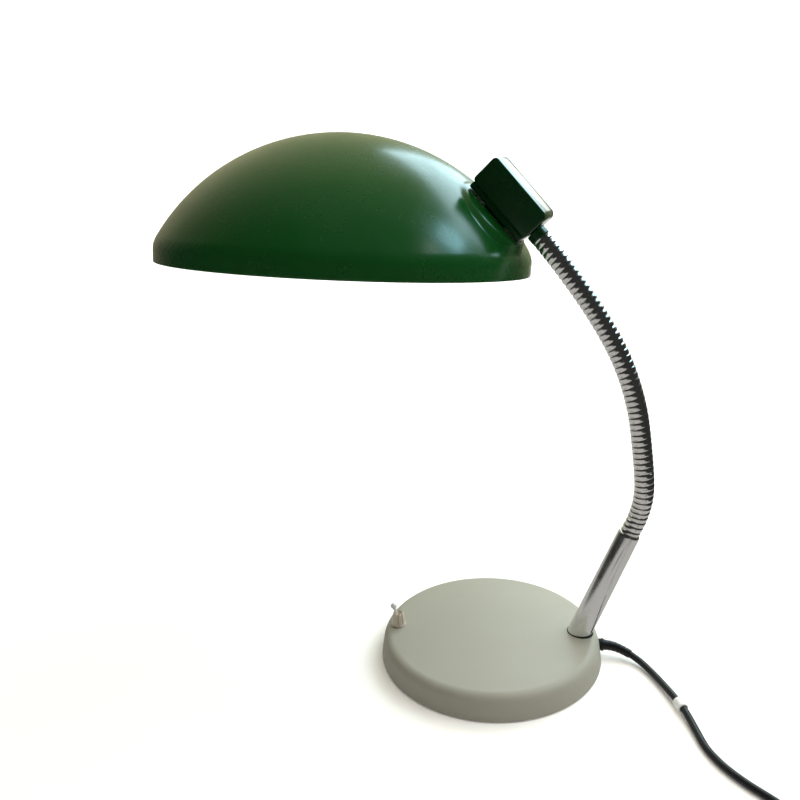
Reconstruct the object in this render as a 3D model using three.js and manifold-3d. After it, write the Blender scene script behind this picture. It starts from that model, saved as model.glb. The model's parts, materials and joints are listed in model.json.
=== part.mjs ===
// Gooseneck desk lamp: enamelled dish shade, box knuckle, ribbed neck, weighted round base.
// Millimetres, +Z up. The origin is the middle of the base's underside.
// The base's own line (switch - stem - cord) is the X axis; the neck is bent a little out of it.

import * as THREE from 'three';
import { mergeVertices } from 'three/addons/utils/BufferGeometryUtils.js';
import Module from 'manifold-3d';

const wasm = await Module();
wasm.setup();

// ---------------------------------------------------------------- driving dimensions

const FIT = 0.3; // clearance left between two pieces that touch

// base
const BASE_R = 80; // radius at the foot of the side wall
const BASE_EDGE_H = 18.6; // height of the top surface at the shoulder
const BASE_CROWN = 2.6; // rise of the top from shoulder to middle
const SHELL_T = 1.4; // sheet thickness of the base cover
const SHOULDER_R = 7.5; // soft radius between side wall and top
const PAD_T = 1.5; // felt pad under the base
const PLATE_T = 1.5; // closing plate

// stem and neck
const STEM_INSET = 15.1; // middle of the stem's foot from the base's edge
const STEM_LEAN = THREE.MathUtils.degToRad(21.5); // outward lean
const STEM_L = 85; // length of the bare tube along its axis
const STEM_R_FOOT = 8.2;
const STEM_R_TOP = 7.6;
const NECK_R = 6.65; // crest radius of the ribbed neck
const RIB_PITCH = 4.0;
const RIB_DEPTH = 0.75;
const NECK_BORE = 3.9; // passage for the lead
const NECK_YAW = THREE.MathUtils.degToRad(16); // neck plane turned out of the base's line
const NECK_SEGMENTS = 7; // rigid lengths, so six places where it bends
const BEND_GAP = 2.4; // room between two lengths at a bend

// head: the middle of the shade's flat seat, from the top of the stem along the neck plane
const HEAD_BACK = 95.5; // how far the head comes back over the base
const HEAD_RISE = 215.5; // how far it stands above the stem's top
const HEAD_TILT = THREE.MathUtils.degToRad(42); // pivot axis above the horizontal
const SHADE_TURN = THREE.MathUtils.degToRad(-7.65); // shade turned on its pivot, as it stands

// shade
const RIM_R = 135.4; // outside radius of the upright band at the rim
const BAND_H = 15; // from the rim up to the shoulder
const SHOULDER_IN = 1.2; // the dome meets the band this far inside it
const DISH_RISE = 78.46; // from the shoulder up to the middle of the dome
const SHADE_T = 0.9; // enamelled sheet
const PIVOT_ANGLE = THREE.MathUtils.degToRad(44.3); // pivot axis above the rim plane
const SEAT_RISE = 0.8; // flat seat for the knuckle, above the sphere's own radius
const SEAT_SHIFT = 8; // seat's middle moved down the dish, towards the rim
const SEAT_R = 26;

// knuckle box
const BOX_L = 51; // along the neck's last straight
const BOX_T = 21; // away from the shade
const BOX_W = 24; // across
const BOX_WALL = 1.6;
const BOX_GAP = 5.6; // box's inner face from the flat seat
const COLLAR_R = 10; // round collar of the box that bears on the seat
const NECK_OFFSET = 11.8; // neck axis from the seat's plane
const FERRULE_L = 6; // short sleeve below the box

// switch
const SWITCH_INSET = 12.2; // middle of the switch from the base's edge
const BUSH_H = 10;
const LEVER_L = 11.5; // pivot to the middle of the ball tip
const LEVER_LEAN = THREE.MathUtils.degToRad(17); // each way from upright

// cord
const CORD_R = 2.4;
const EXIT_Z = 9;
const COIL_R = 29; // middle of the bundle, which is two turns wide
const COIL_LEVELS = 4;
const COIL_OUT = 96; // middle of the coil from the base's edge
const COIL_Y = -222;

// ---------------------------------------------------------------- materials

function material(color, roughness, metalness) {
  return new THREE.MeshStandardMaterial({ color, roughness, metalness });
}

const greigePaint = material(0xb0ae9f, 0.38, 0.0);
const greenEnamel = material(0x12502a, 0.16, 0.0);
const darkGreenPaint = material(0x0c2a17, 0.3, 0.0);
const chrome = material(0xd4d6d8, 0.14, 1.0);
const zincSteel = material(0xa9adb0, 0.38, 1.0);
const castIron = material(0x45464a, 0.75, 0.6);
const brass = material(0xb08d45, 0.32, 1.0);
const creamPlastic = material(0xe7dcc0, 0.42, 0.0);
const whitePlastic = material(0xeeeeea, 0.45, 0.0);
const blackPlastic = material(0x141415, 0.5, 0.0);
const blackRubber = material(0x101011, 0.72, 0.0);
const redFibre = material(0x7a2f22, 0.8, 0.0);
const felt = material(0x26302a, 0.95, 0.0);
const opalGlass = material(0xf4f2ea, 0.22, 0.0);

// ---------------------------------------------------------------- helpers

const group = new THREE.Group();
group.name = 'gooseneck_desk_lamp';

function add(name, geometry, mat, matrix) {
  if (matrix) geometry.applyMatrix4(matrix);
  const mesh = new THREE.Mesh(geometry, mat);
  mesh.name = name;
  group.add(mesh);
  return mesh;
}

// a turned solid about Z from a list of [radius, z]
function turned(profile, sides) {
  const points = profile.map(([r, z]) => new THREE.Vector2(r, z));
  const geometry = new THREE.LatheGeometry(points, sides);
  geometry.rotateX(Math.PI / 2);
  return geometry;
}

function rod(radius, z0, z1, sides = 32) {
  return turned([[0, z0], [radius, z0], [radius, z1], [0, z1]], sides);
}

function ring(rIn, rOut, z0, z1, sides = 32) {
  return turned([[rIn, z0], [rOut, z0], [rOut, z1], [rIn, z1], [rIn, z0]], sides);
}

function block(x0, x1, y0, y1, z0, z1) {
  const geometry = new THREE.BoxGeometry(x1 - x0, y1 - y0, z1 - z0);
  geometry.translate((x0 + x1) / 2, (y0 + y1) / 2, (z0 + z1) / 2);
  return geometry;
}

function toManifold(geometry) {
  const bare = geometry.clone();
  bare.deleteAttribute('normal');
  bare.deleteAttribute('uv');
  const merged = mergeVertices(bare, 1e-4);
  const vertProperties = new Float32Array(merged.attributes.position.array);
  const triVerts = new Uint32Array(merged.index.array);
  return new wasm.Manifold(new wasm.Mesh({ numProp: 3, vertProperties, triVerts }));
}

function fromManifold(solid) {
  const mesh = solid.getMesh();
  const geometry = new THREE.BufferGeometry();
  geometry.setAttribute('position', new THREE.BufferAttribute(new Float32Array(mesh.vertProperties), 3));
  geometry.setIndex(new THREE.BufferAttribute(new Uint32Array(mesh.triVerts), 1));
  geometry.computeVertexNormals();
  return geometry;
}

function cut(geometry, ...tools) {
  let solid = toManifold(geometry);
  for (const tool of tools) solid = solid.subtract(toManifold(tool));
  return fromManifold(solid);
}

function join(geometry, ...others) {
  let solid = toManifold(geometry);
  for (const other of others) solid = solid.add(toManifold(other));
  return fromManifold(solid);
}

function moved(geometry, x, y, z) {
  geometry.translate(x, y, z);
  return geometry;
}

// a rigid frame from an origin and two of its directions
function frame(origin, xDir, zDir) {
  const z = zDir.clone().normalize();
  const y = new THREE.Vector3().crossVectors(z, xDir).normalize();
  const x = new THREE.Vector3().crossVectors(y, z);
  return new THREE.Matrix4().makeBasis(x, y, z).setPosition(origin);
}

// a hollow tube along a curve: stations are [arc length, outer radius]
function sweptTube(pointAt, tangentAt, across, stations, bore, sides) {
  const rings = [];
  const ringAt = (s, radius) => {
    const centre = pointAt(s);
    const t = tangentAt(s);
    const u = new THREE.Vector3().crossVectors(across, t).normalize();
    const v = new THREE.Vector3().crossVectors(t, u);
    const points = [];
    for (let k = 0; k < sides; k += 1) {
      const angle = (2 * Math.PI * k) / sides;
      points.push(
        centre.clone()
          .addScaledVector(u, radius * Math.cos(angle))
          .addScaledVector(v, radius * Math.sin(angle)),
      );
    }
    return points;
  };
  for (const [s, radius] of stations) rings.push(ringAt(s, radius));
  const first = stations[0][0];
  const last = stations[stations.length - 1][0];
  const inner = 4;
  for (let k = inner; k >= 0; k -= 1) rings.push(ringAt(first + ((last - first) * k) / inner, bore));
  const positions = [];
  const index = [];
  for (const points of rings) for (const p of points) positions.push(p.x, p.y, p.z);
  for (let i = 0; i < rings.length; i += 1) {
    const a = i * sides;
    const b = ((i + 1) % rings.length) * sides;
    for (let k = 0; k < sides; k += 1) {
      const n = (k + 1) % sides;
      index.push(a + k, a + n, b + n, a + k, b + n, b + k);
    }
  }
  const geometry = new THREE.BufferGeometry();
  geometry.setAttribute('position', new THREE.Float32BufferAttribute(positions, 3));
  geometry.setIndex(index);
  geometry.computeVertexNormals();
  return geometry;
}

// a solid cord along a curve through points
function cordAlong(points, radius, steps, sides) {
  const path = new THREE.CatmullRomCurve3(points.map((p) => new THREE.Vector3(...p)), false, 'centripetal');
  const section = new THREE.Shape();
  for (let k = 0; k < sides; k += 1) {
    const angle = (2 * Math.PI * k) / sides;
    const x = radius * Math.cos(angle);
    const y = radius * Math.sin(angle);
    if (k === 0) section.moveTo(x, y);
    else section.lineTo(x, y);
  }
  section.closePath();
  return new THREE.ExtrudeGeometry(section, { steps, extrudePath: path, bevelEnabled: false });
}

function roundedOutline(x0, x1, z0, z1, radii) {
  // radii in the order: (x0,z0) (x1,z0) (x1,z1) (x0,z1)
  const shape = new THREE.Shape();
  shape.moveTo(x0 + radii[0], z0);
  shape.lineTo(x1 - radii[1], z0);
  shape.absarc(x1 - radii[1], z0 + radii[1], radii[1], -Math.PI / 2, 0, false);
  shape.lineTo(x1, z1 - radii[2]);
  shape.absarc(x1 - radii[2], z1 - radii[2], radii[2], 0, Math.PI / 2, false);
  shape.lineTo(x0 + radii[3], z1);
  shape.absarc(x0 + radii[3], z1 - radii[3], radii[3], Math.PI / 2, Math.PI, false);
  shape.lineTo(x0, z0 + radii[0]);
  shape.absarc(x0 + radii[0], z0 + radii[0], radii[0], Math.PI, 1.5 * Math.PI, false);
  return shape;
}

// an outline in X-Z carried across Y
function slab(shape, y0, y1) {
  const geometry = new THREE.ExtrudeGeometry(shape, { depth: y1 - y0, bevelEnabled: false,
    curveSegments: 6 });
  geometry.rotateX(Math.PI / 2); // outline y becomes z, depth runs to -Y
  geometry.translate(0, y1, 0);
  return geometry;
}

function hexNut(flat, bore, z0, z1) {
  const nut = turned([[0, z0], [flat / Math.sqrt(3), z0], [flat / Math.sqrt(3), z1], [0, z1]], 6);
  return cut(nut, rod(bore, z0 - 1, z1 + 1, 20));
}

// ---------------------------------------------------------------- heights inside the base

const TOP_AT_RIM = BASE_EDGE_H;
const topAt = (r) => TOP_AT_RIM + BASE_CROWN * (1 - (r / (BASE_R - SHOULDER_R - 1.5)) ** 2);
const PLATE_Z0 = PAD_T + FIT;
const PLATE_Z1 = PLATE_Z0 + PLATE_T;
const WEIGHT_Z0 = PLATE_Z1 + FIT;
const WEIGHT_Z1 = BASE_EDGE_H - SHELL_T - 3.2;
const WEIGHT_R = BASE_R - SHELL_T - 4.4;
const GROOVE_Z = WEIGHT_Z0 + 1.6; // floor of the wiring groove across the weight
const GROOVE_W = 24;
const POST_INSET = 28; // screw posts from the base's edge
const POST_R = BASE_R - POST_INSET;
const STEM_X = BASE_R - STEM_INSET;
const COIL_X = BASE_R + COIL_OUT;
const SWITCH_X = -(BASE_R - SWITCH_INSET);
const POST_ANGLES = [90, 210, 330].map((a) => THREE.MathUtils.degToRad(a));

// ---------------------------------------------------------------- base: pad, plate, weight, cover

add('base_pad', rod(BASE_R - 4, 0, PAD_T, 60), felt);

const plateHoles = POST_ANGLES.map((a) =>
  moved(
    turned([[0, -1], [4.3, -1], [4.3, 0], [2.3, 1.4], [2.3, 4], [0, 4]], 24),
    POST_R * Math.cos(a), POST_R * Math.sin(a), PLATE_Z0,
  ));
add('base_plate', cut(rod(BASE_R - 3, PLATE_Z0, PLATE_Z1, 60), ...plateHoles), zincSteel);

const postHoles = POST_ANGLES.map((a) =>
  moved(rod(4.6, 0, 40, 20), POST_R * Math.cos(a), POST_R * Math.sin(a), 0));
add(
  'base_weight',
  cut(
    turned(
      [[0, WEIGHT_Z0], [WEIGHT_R, WEIGHT_Z0], [WEIGHT_R, WEIGHT_Z1 - 3], [WEIGHT_R - 3, WEIGHT_Z1],
        [0, WEIGHT_Z1]],
      48,
    ),
    block(-BASE_R, BASE_R, -GROOVE_W / 2, GROOVE_W / 2, GROOVE_Z, 40),
    ...postHoles,
  ),
  castIron,
);

// cover: outer skin, then the same skin drawn in by the sheet thickness
function coverProfile(inset) {
  const points = [];
  const cr = BASE_R - 1.5 - SHOULDER_R; // middle of the shoulder radius
  const cz = BASE_EDGE_H - SHOULDER_R;
  points.push([BASE_R - inset, 1.0]);
  const arc = 5;
  for (let k = 0; k <= arc; k += 1) {
    const angle = (Math.PI / 2) * (k / arc);
    points.push([cr + (SHOULDER_R - inset) * Math.cos(angle), cz + (SHOULDER_R - inset) * Math.sin(angle)]);
  }
  for (const f of [0.75, 0.5, 0.25]) points.push([cr * f, topAt(cr * f) - inset]);
  points.push([0, topAt(0) - inset]);
  return points;
}
const coverSkin = turned([...coverProfile(0), ...coverProfile(SHELL_T).reverse(), [BASE_R, 1.0]], 60);
const posts = POST_ANGLES.map((a) =>
  moved(rod(4.0, GROOVE_Z - 1, topAt(POST_R) - SHELL_T / 2, 20), POST_R * Math.cos(a),
    POST_R * Math.sin(a), 0));
const postBores = POST_ANGLES.map((a) =>
  moved(rod(2.0, 0, 13, 16), POST_R * Math.cos(a), POST_R * Math.sin(a), 0));
const alongX = new THREE.Matrix4().makeRotationY(Math.PI / 2); // a piece turned about Z laid along X
const exitHole = rod(4.6, BASE_R - 8, BASE_R + 4, 24).applyMatrix4(alongX).translate(0, 0, EXIT_Z);
add(
  'base_shell',
  cut(
    join(coverSkin, ...posts),
    ...postBores,
    moved(rod(5.1, 5, 40, 24), STEM_X, 0, 0),
    moved(rod(3.6, 5, 40, 24), SWITCH_X, 0, 0),
    exitHole,
  ),
  greigePaint,
);

POST_ANGLES.forEach((a, i) => {
  add(
    `plate_screw_${i + 1}`,
    moved(
      turned([[0, 0.1], [3.7, 0.1], [3.7, 0.3], [1.7, 1.5], [1.7, 9.5], [0, 9.5]], 16),
      POST_R * Math.cos(a), POST_R * Math.sin(a), PLATE_Z0,
    ),
    zincSteel,
  );
});

// ---------------------------------------------------------------- stem

const seatZ = topAt(STEM_X) + 0.2; // highest point of the cover round the stem's foot, near enough flat
const footZ = seatZ + 0.9; // the gasket lies between
const stemDir = new THREE.Vector3(Math.sin(STEM_LEAN), 0, Math.cos(STEM_LEAN));
const stemFoot = new THREE.Vector3(STEM_X, 0, footZ);
const stemFrame = frame(stemFoot, new THREE.Vector3(1, 0, 0), stemDir);
const stemTop = stemFoot.clone().addScaledVector(stemDir, STEM_L);
const STEM_BORE = NECK_R - 0.95;

add(
  'stem_gasket',
  cut(
    moved(ring(5.2, STEM_R_FOOT + 0.9, BASE_EDGE_H - 3, footZ - 0.1, 32), STEM_X + 0.3, 0, 0),
    turned([[0, 1], ...coverProfile(-0.2)], 60),
  ),
  blackRubber,
);

const stemTube = turned(
  [[0, -8], [STEM_R_FOOT + 0.15, -8], [STEM_R_FOOT, 0], [STEM_R_TOP, STEM_L - 0.6],
    [STEM_R_TOP - 0.6, STEM_L], [0, STEM_L]],
  40,
).applyMatrix4(stemFrame);
const stemThread = moved(rod(4.8, EXIT_Z + CORD_R + 0.5, footZ + 6, 24), STEM_X, 0, 0);
add(
  'stem_tube',
  cut(
    join(cut(stemTube, block(0, 200, -50, 50, -50, footZ)), stemThread),
    moved(rod(3.2, 0, footZ + 8, 20), STEM_X, 0, 0),
    rod(STEM_BORE, 7, STEM_L + 5, 32).applyMatrix4(stemFrame),
  ),
  chrome,
);

const underTop = BASE_EDGE_H - SHELL_T - 0.5;
add('stem_washer', moved(ring(5.1, 7.6, underTop - 1.2, underTop, 28), STEM_X, 0, 0), zincSteel);
add(
  'stem_nut',
  moved(hexNut(14, 5.1, underTop - 1.2 - FIT - 3.2, underTop - 1.2 - FIT), STEM_X, 0, 0),
  brass,
);

// ---------------------------------------------------------------- switch

const bushZ = topAt(-SWITCH_X) + FIT;
const leverPivot = new THREE.Vector3(SWITCH_X, 0, bushZ + 4.2);
const bodyTop = topAt(-SWITCH_X + 6) - SHELL_T - FIT - 1.2;

add('switch_body', block(SWITCH_X - 6.5, SWITCH_X + 6.5, -6, 6, GROOVE_Z + FIT, bodyTop - FIT),
  blackPlastic);
add('switch_nut', moved(hexNut(11, 3.6, bodyTop, bodyTop + 1.0), SWITCH_X, 0, 0), zincSteel);

const bush = join(
  turned([[0, 0], [5.3, 0], [5.3, 1.2], [4.9, 1.8], [4.1, BUSH_H - 0.8], [3.5, BUSH_H], [0, BUSH_H]], 32),
  rod(3.3, bodyTop + 0.2 - bushZ, 1, 24),
);
const slots = [];
for (let k = 0; k < 4; k += 1) {
  const slot = block(3.7, 6, -0.7, 0.7, 4.2, BUSH_H + 1);
  slot.rotateZ((Math.PI / 4) * (2 * k + 1));
  slots.push(slot);
}
add(
  'switch_bush',
  cut(
    bush,
    turned([[0, -8], [2.0, -8], [2.0, 5.2], [3.1, BUSH_H + 0.01], [3.1, BUSH_H + 3], [0, BUSH_H + 3]], 24),
    ...slots,
  ).translate(SWITCH_X, 0, bushZ),
  creamPlastic,
);

const leverProfile = [[0, -1.55], [0.9, -1.3], [1.5, -0.4], [1.5, 0.4], [1.0, 1.4], [1.15, LEVER_L - 3.4],
  [1.3, LEVER_L - 1.9], [1.9, LEVER_L - 1.0], [2.2, LEVER_L], [1.9, LEVER_L + 1.1],
  [1.1, LEVER_L + 1.9], [0, LEVER_L + 2.2]];
const leverFrame = frame(
  leverPivot,
  new THREE.Vector3(1, 0, 0),
  new THREE.Vector3(-Math.sin(LEVER_LEAN), 0, Math.cos(LEVER_LEAN)),
);
add('switch_lever', turned(leverProfile, 20), chrome, leverFrame);

// ---------------------------------------------------------------- head frame

const outward = new THREE.Vector3(Math.cos(NECK_YAW), -Math.sin(NECK_YAW), 0);
const up = new THREE.Vector3(0, 0, 1);
const across = new THREE.Vector3().crossVectors(up, outward); // square to the neck plane
const seatPoint = stemTop.clone().addScaledVector(outward, -HEAD_BACK).addScaledVector(up, HEAD_RISE);
const pivotDir = outward.clone().multiplyScalar(Math.cos(HEAD_TILT)).addScaledVector(up,
  Math.sin(HEAD_TILT));
const boxDir = outward.clone().multiplyScalar(-Math.sin(HEAD_TILT)).addScaledVector(up,
  Math.cos(HEAD_TILT));
const head = frame(seatPoint, pivotDir, boxDir); // X out along the pivot, Z up along the box

const inHead = (x, y, z) => new THREE.Vector3(x, y, z).applyMatrix4(head);
const alongPivot = new THREE.Matrix4().multiplyMatrices(head, alongX);

// ---------------------------------------------------------------- neck

// where the neck runs, as shares of the head's setback and rise
const NECK_SHAPE = [
  [0.079, 0.125], [0.076, 0.187], [0.041, 0.318], [-0.030, 0.469], [-0.157, 0.603], [-0.343, 0.734],
  [-0.533, 0.846],
];
const neckEnd = inHead(NECK_OFFSET, 0, -BOX_L / 2 - FERRULE_L);
const neckPoints = [
  stemTop.clone().addScaledVector(stemDir, -12),
  stemTop.clone(),
  stemTop.clone().addScaledVector(stemDir, 13),
  ...NECK_SHAPE.map(([a, b]) =>
    stemTop.clone().addScaledVector(outward, a * HEAD_BACK).addScaledVector(up, b * HEAD_RISE)),
  neckEnd.clone().addScaledVector(boxDir, -5),
  neckEnd.clone(),
  neckEnd.clone().addScaledVector(boxDir, 10),
];
const neckCurve = new THREE.CatmullRomCurve3(neckPoints, false, 'centripetal');
neckCurve.arcLengthDivisions = 800;
const neckWhole = neckCurve.getLength();
const FERRULE_FLOOR = 1.8; // thickness left at the top of the sleeve's socket
const NECK_TAIL_IN = 12; // length hidden in the stem, counted below s = 0
const NECK_TAIL_OUT = 10; // length hidden in the ferrule
const neckLength = neckWhole - NECK_TAIL_IN - NECK_TAIL_OUT;
const neckPoint = (s) => neckCurve.getPointAt((s + NECK_TAIL_IN) / neckWhole);
const neckTangent = (s) => neckCurve.getTangentAt((s + NECK_TAIL_IN) / neckWhole).normalize();

const segmentL = neckLength / NECK_SEGMENTS;
for (let i = 0; i < NECK_SEGMENTS; i += 1) {
  const first = i === 0;
  const last = i === NECK_SEGMENTS - 1;
  const s0 = i * segmentL + (first ? FIT : BEND_GAP / 2);
  const s1 = (i + 1) * segmentL - (last ? FIT : BEND_GAP / 2);
  const ribs = Math.max(2, Math.round((s1 - s0) / RIB_PITCH));
  const pitch = (s1 - s0) / ribs;
  const stations = [];
  if (first) stations.push([-9.5, STEM_BORE - FIT], [s0 - 0.05, STEM_BORE - FIT]);
  for (let k = 0; k < ribs; k += 1) {
    stations.push([s0 + k * pitch, NECK_R - RIB_DEPTH]);
    stations.push([s0 + (k + 0.5) * pitch, NECK_R]);
  }
  stations.push([s1, NECK_R - RIB_DEPTH]);
  if (last) stations.push([s1 + 0.05, 4.9], [s1 + FERRULE_L - FERRULE_FLOOR - FIT, 4.9]);
  add(`neck_segment_${i + 1}`, sweptTube(neckPoint, neckTangent, across, stations, NECK_BORE, 14), chrome);
}

// ---------------------------------------------------------------- ferrule and box knuckle

const boxX0 = BOX_GAP; // inner face
const boxX1 = boxX0 + BOX_T;
const boxZ = BOX_L / 2;
const washerTop = 0.85; // friction washer between seat and collar
const CORNERS = [3.0, 4.5, 3.0, 3.0]; // the lower outer corner is the softest

const SPIGOT_R = 3.2; // threaded end of the sleeve, inside the box
add(
  'neck_ferrule',
  turned(
    [[5.2, -FERRULE_L], [NECK_R - 0.3, -FERRULE_L], [NECK_R, -FERRULE_L + 0.6], [NECK_R, -0.9],
      [NECK_R - 0.3, -FIT],
      [SPIGOT_R, -FIT], [SPIGOT_R, 7.5], [2.4, 7.5], [2.4, -FERRULE_FLOOR], [5.2, -FERRULE_FLOOR],
      [5.2, -FERRULE_L]],
    32,
  ).translate(NECK_OFFSET, 0, -boxZ),
  darkGreenPaint,
  head,
);

const boxOuter = slab(roundedOutline(boxX0, boxX1, -boxZ, boxZ, CORNERS), -BOX_W / 2,
  BOX_W / 2 - BOX_WALL - FIT);
const boxInner = slab(
  roundedOutline(boxX0 + BOX_WALL, boxX1 - BOX_WALL, -boxZ + BOX_WALL, boxZ - BOX_WALL,
    CORNERS.map((r) => r - BOX_WALL)),
  -BOX_W / 2 + BOX_WALL, BOX_W,
);
const coverScrewSpots = [[boxX1 - 6.4, boxZ - 6.4], [boxX1 - 6.4, 12 - boxZ]];
const screwPillars = coverScrewSpots.map(([x, z]) => {
  const pillar = rod(2.6, -BOX_W / 2 + BOX_WALL / 2, BOX_W / 2 - BOX_WALL - FIT - 0.2, 16);
  pillar.rotateX(-Math.PI / 2);
  return moved(pillar, x, 0, z);
});
const pillarBores = coverScrewSpots.map(([x, z]) => {
  const bore = rod(1.25, 0, BOX_W, 12);
  bore.rotateX(-Math.PI / 2);
  return moved(bore, x, 0, z);
});
add(
  'knuckle_housing',
  cut(
    join(cut(boxOuter, boxInner), ...screwPillars, rod(COLLAR_R, washerTop + 0.15, boxX0 + 0.5,
      32).applyMatrix4(alongX)),
    ...pillarBores,
    rod(5.1, 0, boxX0 + BOX_WALL + 1, 24).applyMatrix4(alongX),
    moved(rod(SPIGOT_R + FIT, -boxZ - 2, -boxZ + BOX_WALL + 1, 24), NECK_OFFSET, 0, 0),
  ),
  darkGreenPaint,
  head,
);
const coverHoles = coverScrewSpots.map(([x, z]) => {
  const hole = rod(1.6, 0, BOX_W, 12);
  hole.rotateX(-Math.PI / 2);
  return moved(hole, x, 0, z);
});
add(
  'knuckle_cover',
  cut(slab(roundedOutline(boxX0, boxX1, -boxZ, boxZ, CORNERS), BOX_W / 2 - BOX_WALL, BOX_W / 2),
    ...coverHoles),
  darkGreenPaint,
  head,
);
coverScrewSpots.forEach(([x, z], i) => {
  const screw = turned([[0, 1.0], [1.0, 1.0], [1.0, 9.8], [2.6, 9.8], [2.6, 10.5], [1.6, 11.2],
    [0, 11.2]], 16);
  screw.translate(0, 0, BOX_W / 2 + FIT - 9.8);
  screw.rotateX(-Math.PI / 2);
  add(`cover_screw_${i + 1}`, moved(screw, x, 0, z), zincSteel, head);
});
add(
  'ferrule_nut',
  moved(hexNut(8.4, SPIGOT_R + FIT, -boxZ + BOX_WALL + 0.6, -boxZ + BOX_WALL + 3.4), NECK_OFFSET, 0, 0),
  brass,
  head,
);

// ---------------------------------------------------------------- pivot between box and shade

// the dome is part of a sphere through its middle and the shoulder
const DOME_R = ((RIM_R - SHOULDER_IN) ** 2 + DISH_RISE ** 2) / (2 * DISH_RISE);
const RIM_Z = DOME_R - DISH_RISE - BAND_H; // rim plane above the sphere's centre
const SEAT_DIST = DOME_R + SEAT_RISE; // seat's plane from the sphere's centre

const BRACKET_T = 1.5; // strip that carries the lampholder
const BRACKET_W = 22;
const BRACKET_BACK = 15; // from the pivot to the strip's free end
// the strip's free corners are where it comes nearest to the dome
const domeAtCorner = Math.sqrt(
  (DOME_R - SHADE_T) ** 2 - (BRACKET_BACK + SEAT_SHIFT) ** 2 - (BRACKET_W / 2) ** 2,
);
const bracketTop = domeAtCorner - SEAT_DIST - FIT - 0.2; // its face towards the dome, from the seat's plane
const bracketIn = bracketTop - BRACKET_T;

add('pivot_washer', ring(5.2, COLLAR_R - 0.3, 0.15, washerTop, 32), redFibre, alongPivot);
add('pivot_nipple', ring(3.3, 4.8, bracketIn - 5.4, boxX0 + BOX_WALL + 6.5, 24), brass, alongPivot);
add('pivot_nut_outer', hexNut(14, 5.1, boxX0 + BOX_WALL + FIT, boxX0 + BOX_WALL + FIT + 3.2), brass,
  alongPivot);
add('pivot_nut_inner', hexNut(14, 5.1, bracketIn - 4.4, bracketIn - 1.6), brass, alongPivot);
add('pivot_spring_washer', ring(5.2, 7.6, bracketIn - 1.3, bracketIn - 0.3, 28), zincSteel, alongPivot);

// ---------------------------------------------------------------- shade

// shade frame: origin at the sphere's centre, Z square to the rim, X towards the pivot
const turnShade = new THREE.Matrix4().makeRotationX(SHADE_TURN); // about the pivot, in the head frame
const toShade = new THREE.Matrix4()
  .makeTranslation(-SEAT_DIST, 0, SEAT_SHIFT)
  .multiply(new THREE.Matrix4().makeRotationY(PIVOT_ANGLE));
const shadeFrame = head.clone().multiply(turnShade).multiply(toShade);
const shadePivot = new THREE.Matrix4() // in the shade frame: Z of a turned piece laid along the pivot
  .makeRotationY(-PIVOT_ANGLE)
  .multiply(new THREE.Matrix4().makeRotationY(Math.PI / 2));

function shadeProfile(inset) {
  const points = [];
  const r = DOME_R - inset;
  const band = RIM_R - inset;
  const turn = Math.asin((band - SHOULDER_IN) / r);
  const arcs = 10;
  points.push([band, RIM_Z + 1.2]);
  points.push([band, r * Math.cos(turn) - 3.2]);
  points.push([band - 0.3, r * Math.cos(turn) - 1.4]);
  for (let k = 0; k <= arcs; k += 1) {
    const angle = turn * (1 - k / arcs);
    points.push([r * Math.sin(angle), r * Math.cos(angle)]);
  }
  points[points.length - 1][0] = 0;
  return points;
}
const lip = [[RIM_R - SHADE_T, RIM_Z + 0.4], [RIM_R - SHADE_T * 0.5, RIM_Z], [RIM_R, RIM_Z + 0.4]];
const dish = turned([...shadeProfile(SHADE_T).reverse(), ...lip, ...shadeProfile(0)], 60);
const rivetSpot = 11; // below the pivot, away from the lampholder
// a tool or piece turned about Z, laid along the pivot with its zero on the seat's plane
const onSeat = (geometry, down = 0) =>
  geometry.translate(SEAT_SHIFT + down, 0, SEAT_DIST).applyMatrix4(shadePivot);

// seat: pressed out of the dish, flat outside, its skirt running back into the sphere
const seatSolid = onSeat(turned(
  [[0, -9], [SEAT_R + 6, -9], [SEAT_R + 6, -6.4], [SEAT_R + 3.6, -4.2], [SEAT_R + 1.4, -1.3],
    [SEAT_R, 0], [0, 0]],
  48,
));
const sphereTool = new THREE.SphereGeometry(DOME_R - SHADE_T / 2, 60, 40);
sphereTool.rotateX(Math.PI / 2);
add(
  'shade',
  cut(join(dish, cut(seatSolid, sphereTool)), onSeat(rod(5.1, -20, 20, 24)), onSeat(rod(1.5, -20, -0.8,
    12), rivetSpot)),
  greenEnamel,
  shadeFrame,
);

// ---------------------------------------------------------------- lampholder inside the shade

// The bracket lies under the dome round the pivot, then turns down to carry the holder.
// Its outline is drawn in the shade's X-Z plane.
const cosP = Math.cos(PIVOT_ANGLE);
const sinP = Math.sin(PIVOT_ANGLE);
// a point in the shade frame from distances along the pivot (from the seat's plane) and along the box
const shadeXZ = (a, b) => [
  (SEAT_DIST + a) * cosP - (b - SEAT_SHIFT) * sinP,
  (SEAT_DIST + a) * sinP + (b - SEAT_SHIFT) * cosP,
];
const HOLDER_TILT = THREE.MathUtils.degToRad(5);
const [bendX, bendZ] = shadeXZ(bracketTop, 15.5);
const [bendInX, bendInZ] = shadeXZ(bracketIn, 13.9);
const [tailX, tailZ] = shadeXZ(bracketTop, -BRACKET_BACK);
const [tailInX, tailInZ] = shadeXZ(bracketIn, -BRACKET_BACK);
const legDrop = 44;
const legX = bendX - 0.6;
const bracketShape = new THREE.Shape();
bracketShape.moveTo(tailX, tailZ);
bracketShape.lineTo(bendX, bendZ);
bracketShape.lineTo(legX - BRACKET_T, bendZ - 1.5);
bracketShape.lineTo(legX - BRACKET_T - legDrop * Math.tan(HOLDER_TILT), bendZ - legDrop);
bracketShape.lineTo(legX - legDrop * Math.tan(HOLDER_TILT), bendZ - legDrop);
bracketShape.lineTo(bendInX, bendInZ);
bracketShape.lineTo(tailInX, tailInZ);
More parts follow.
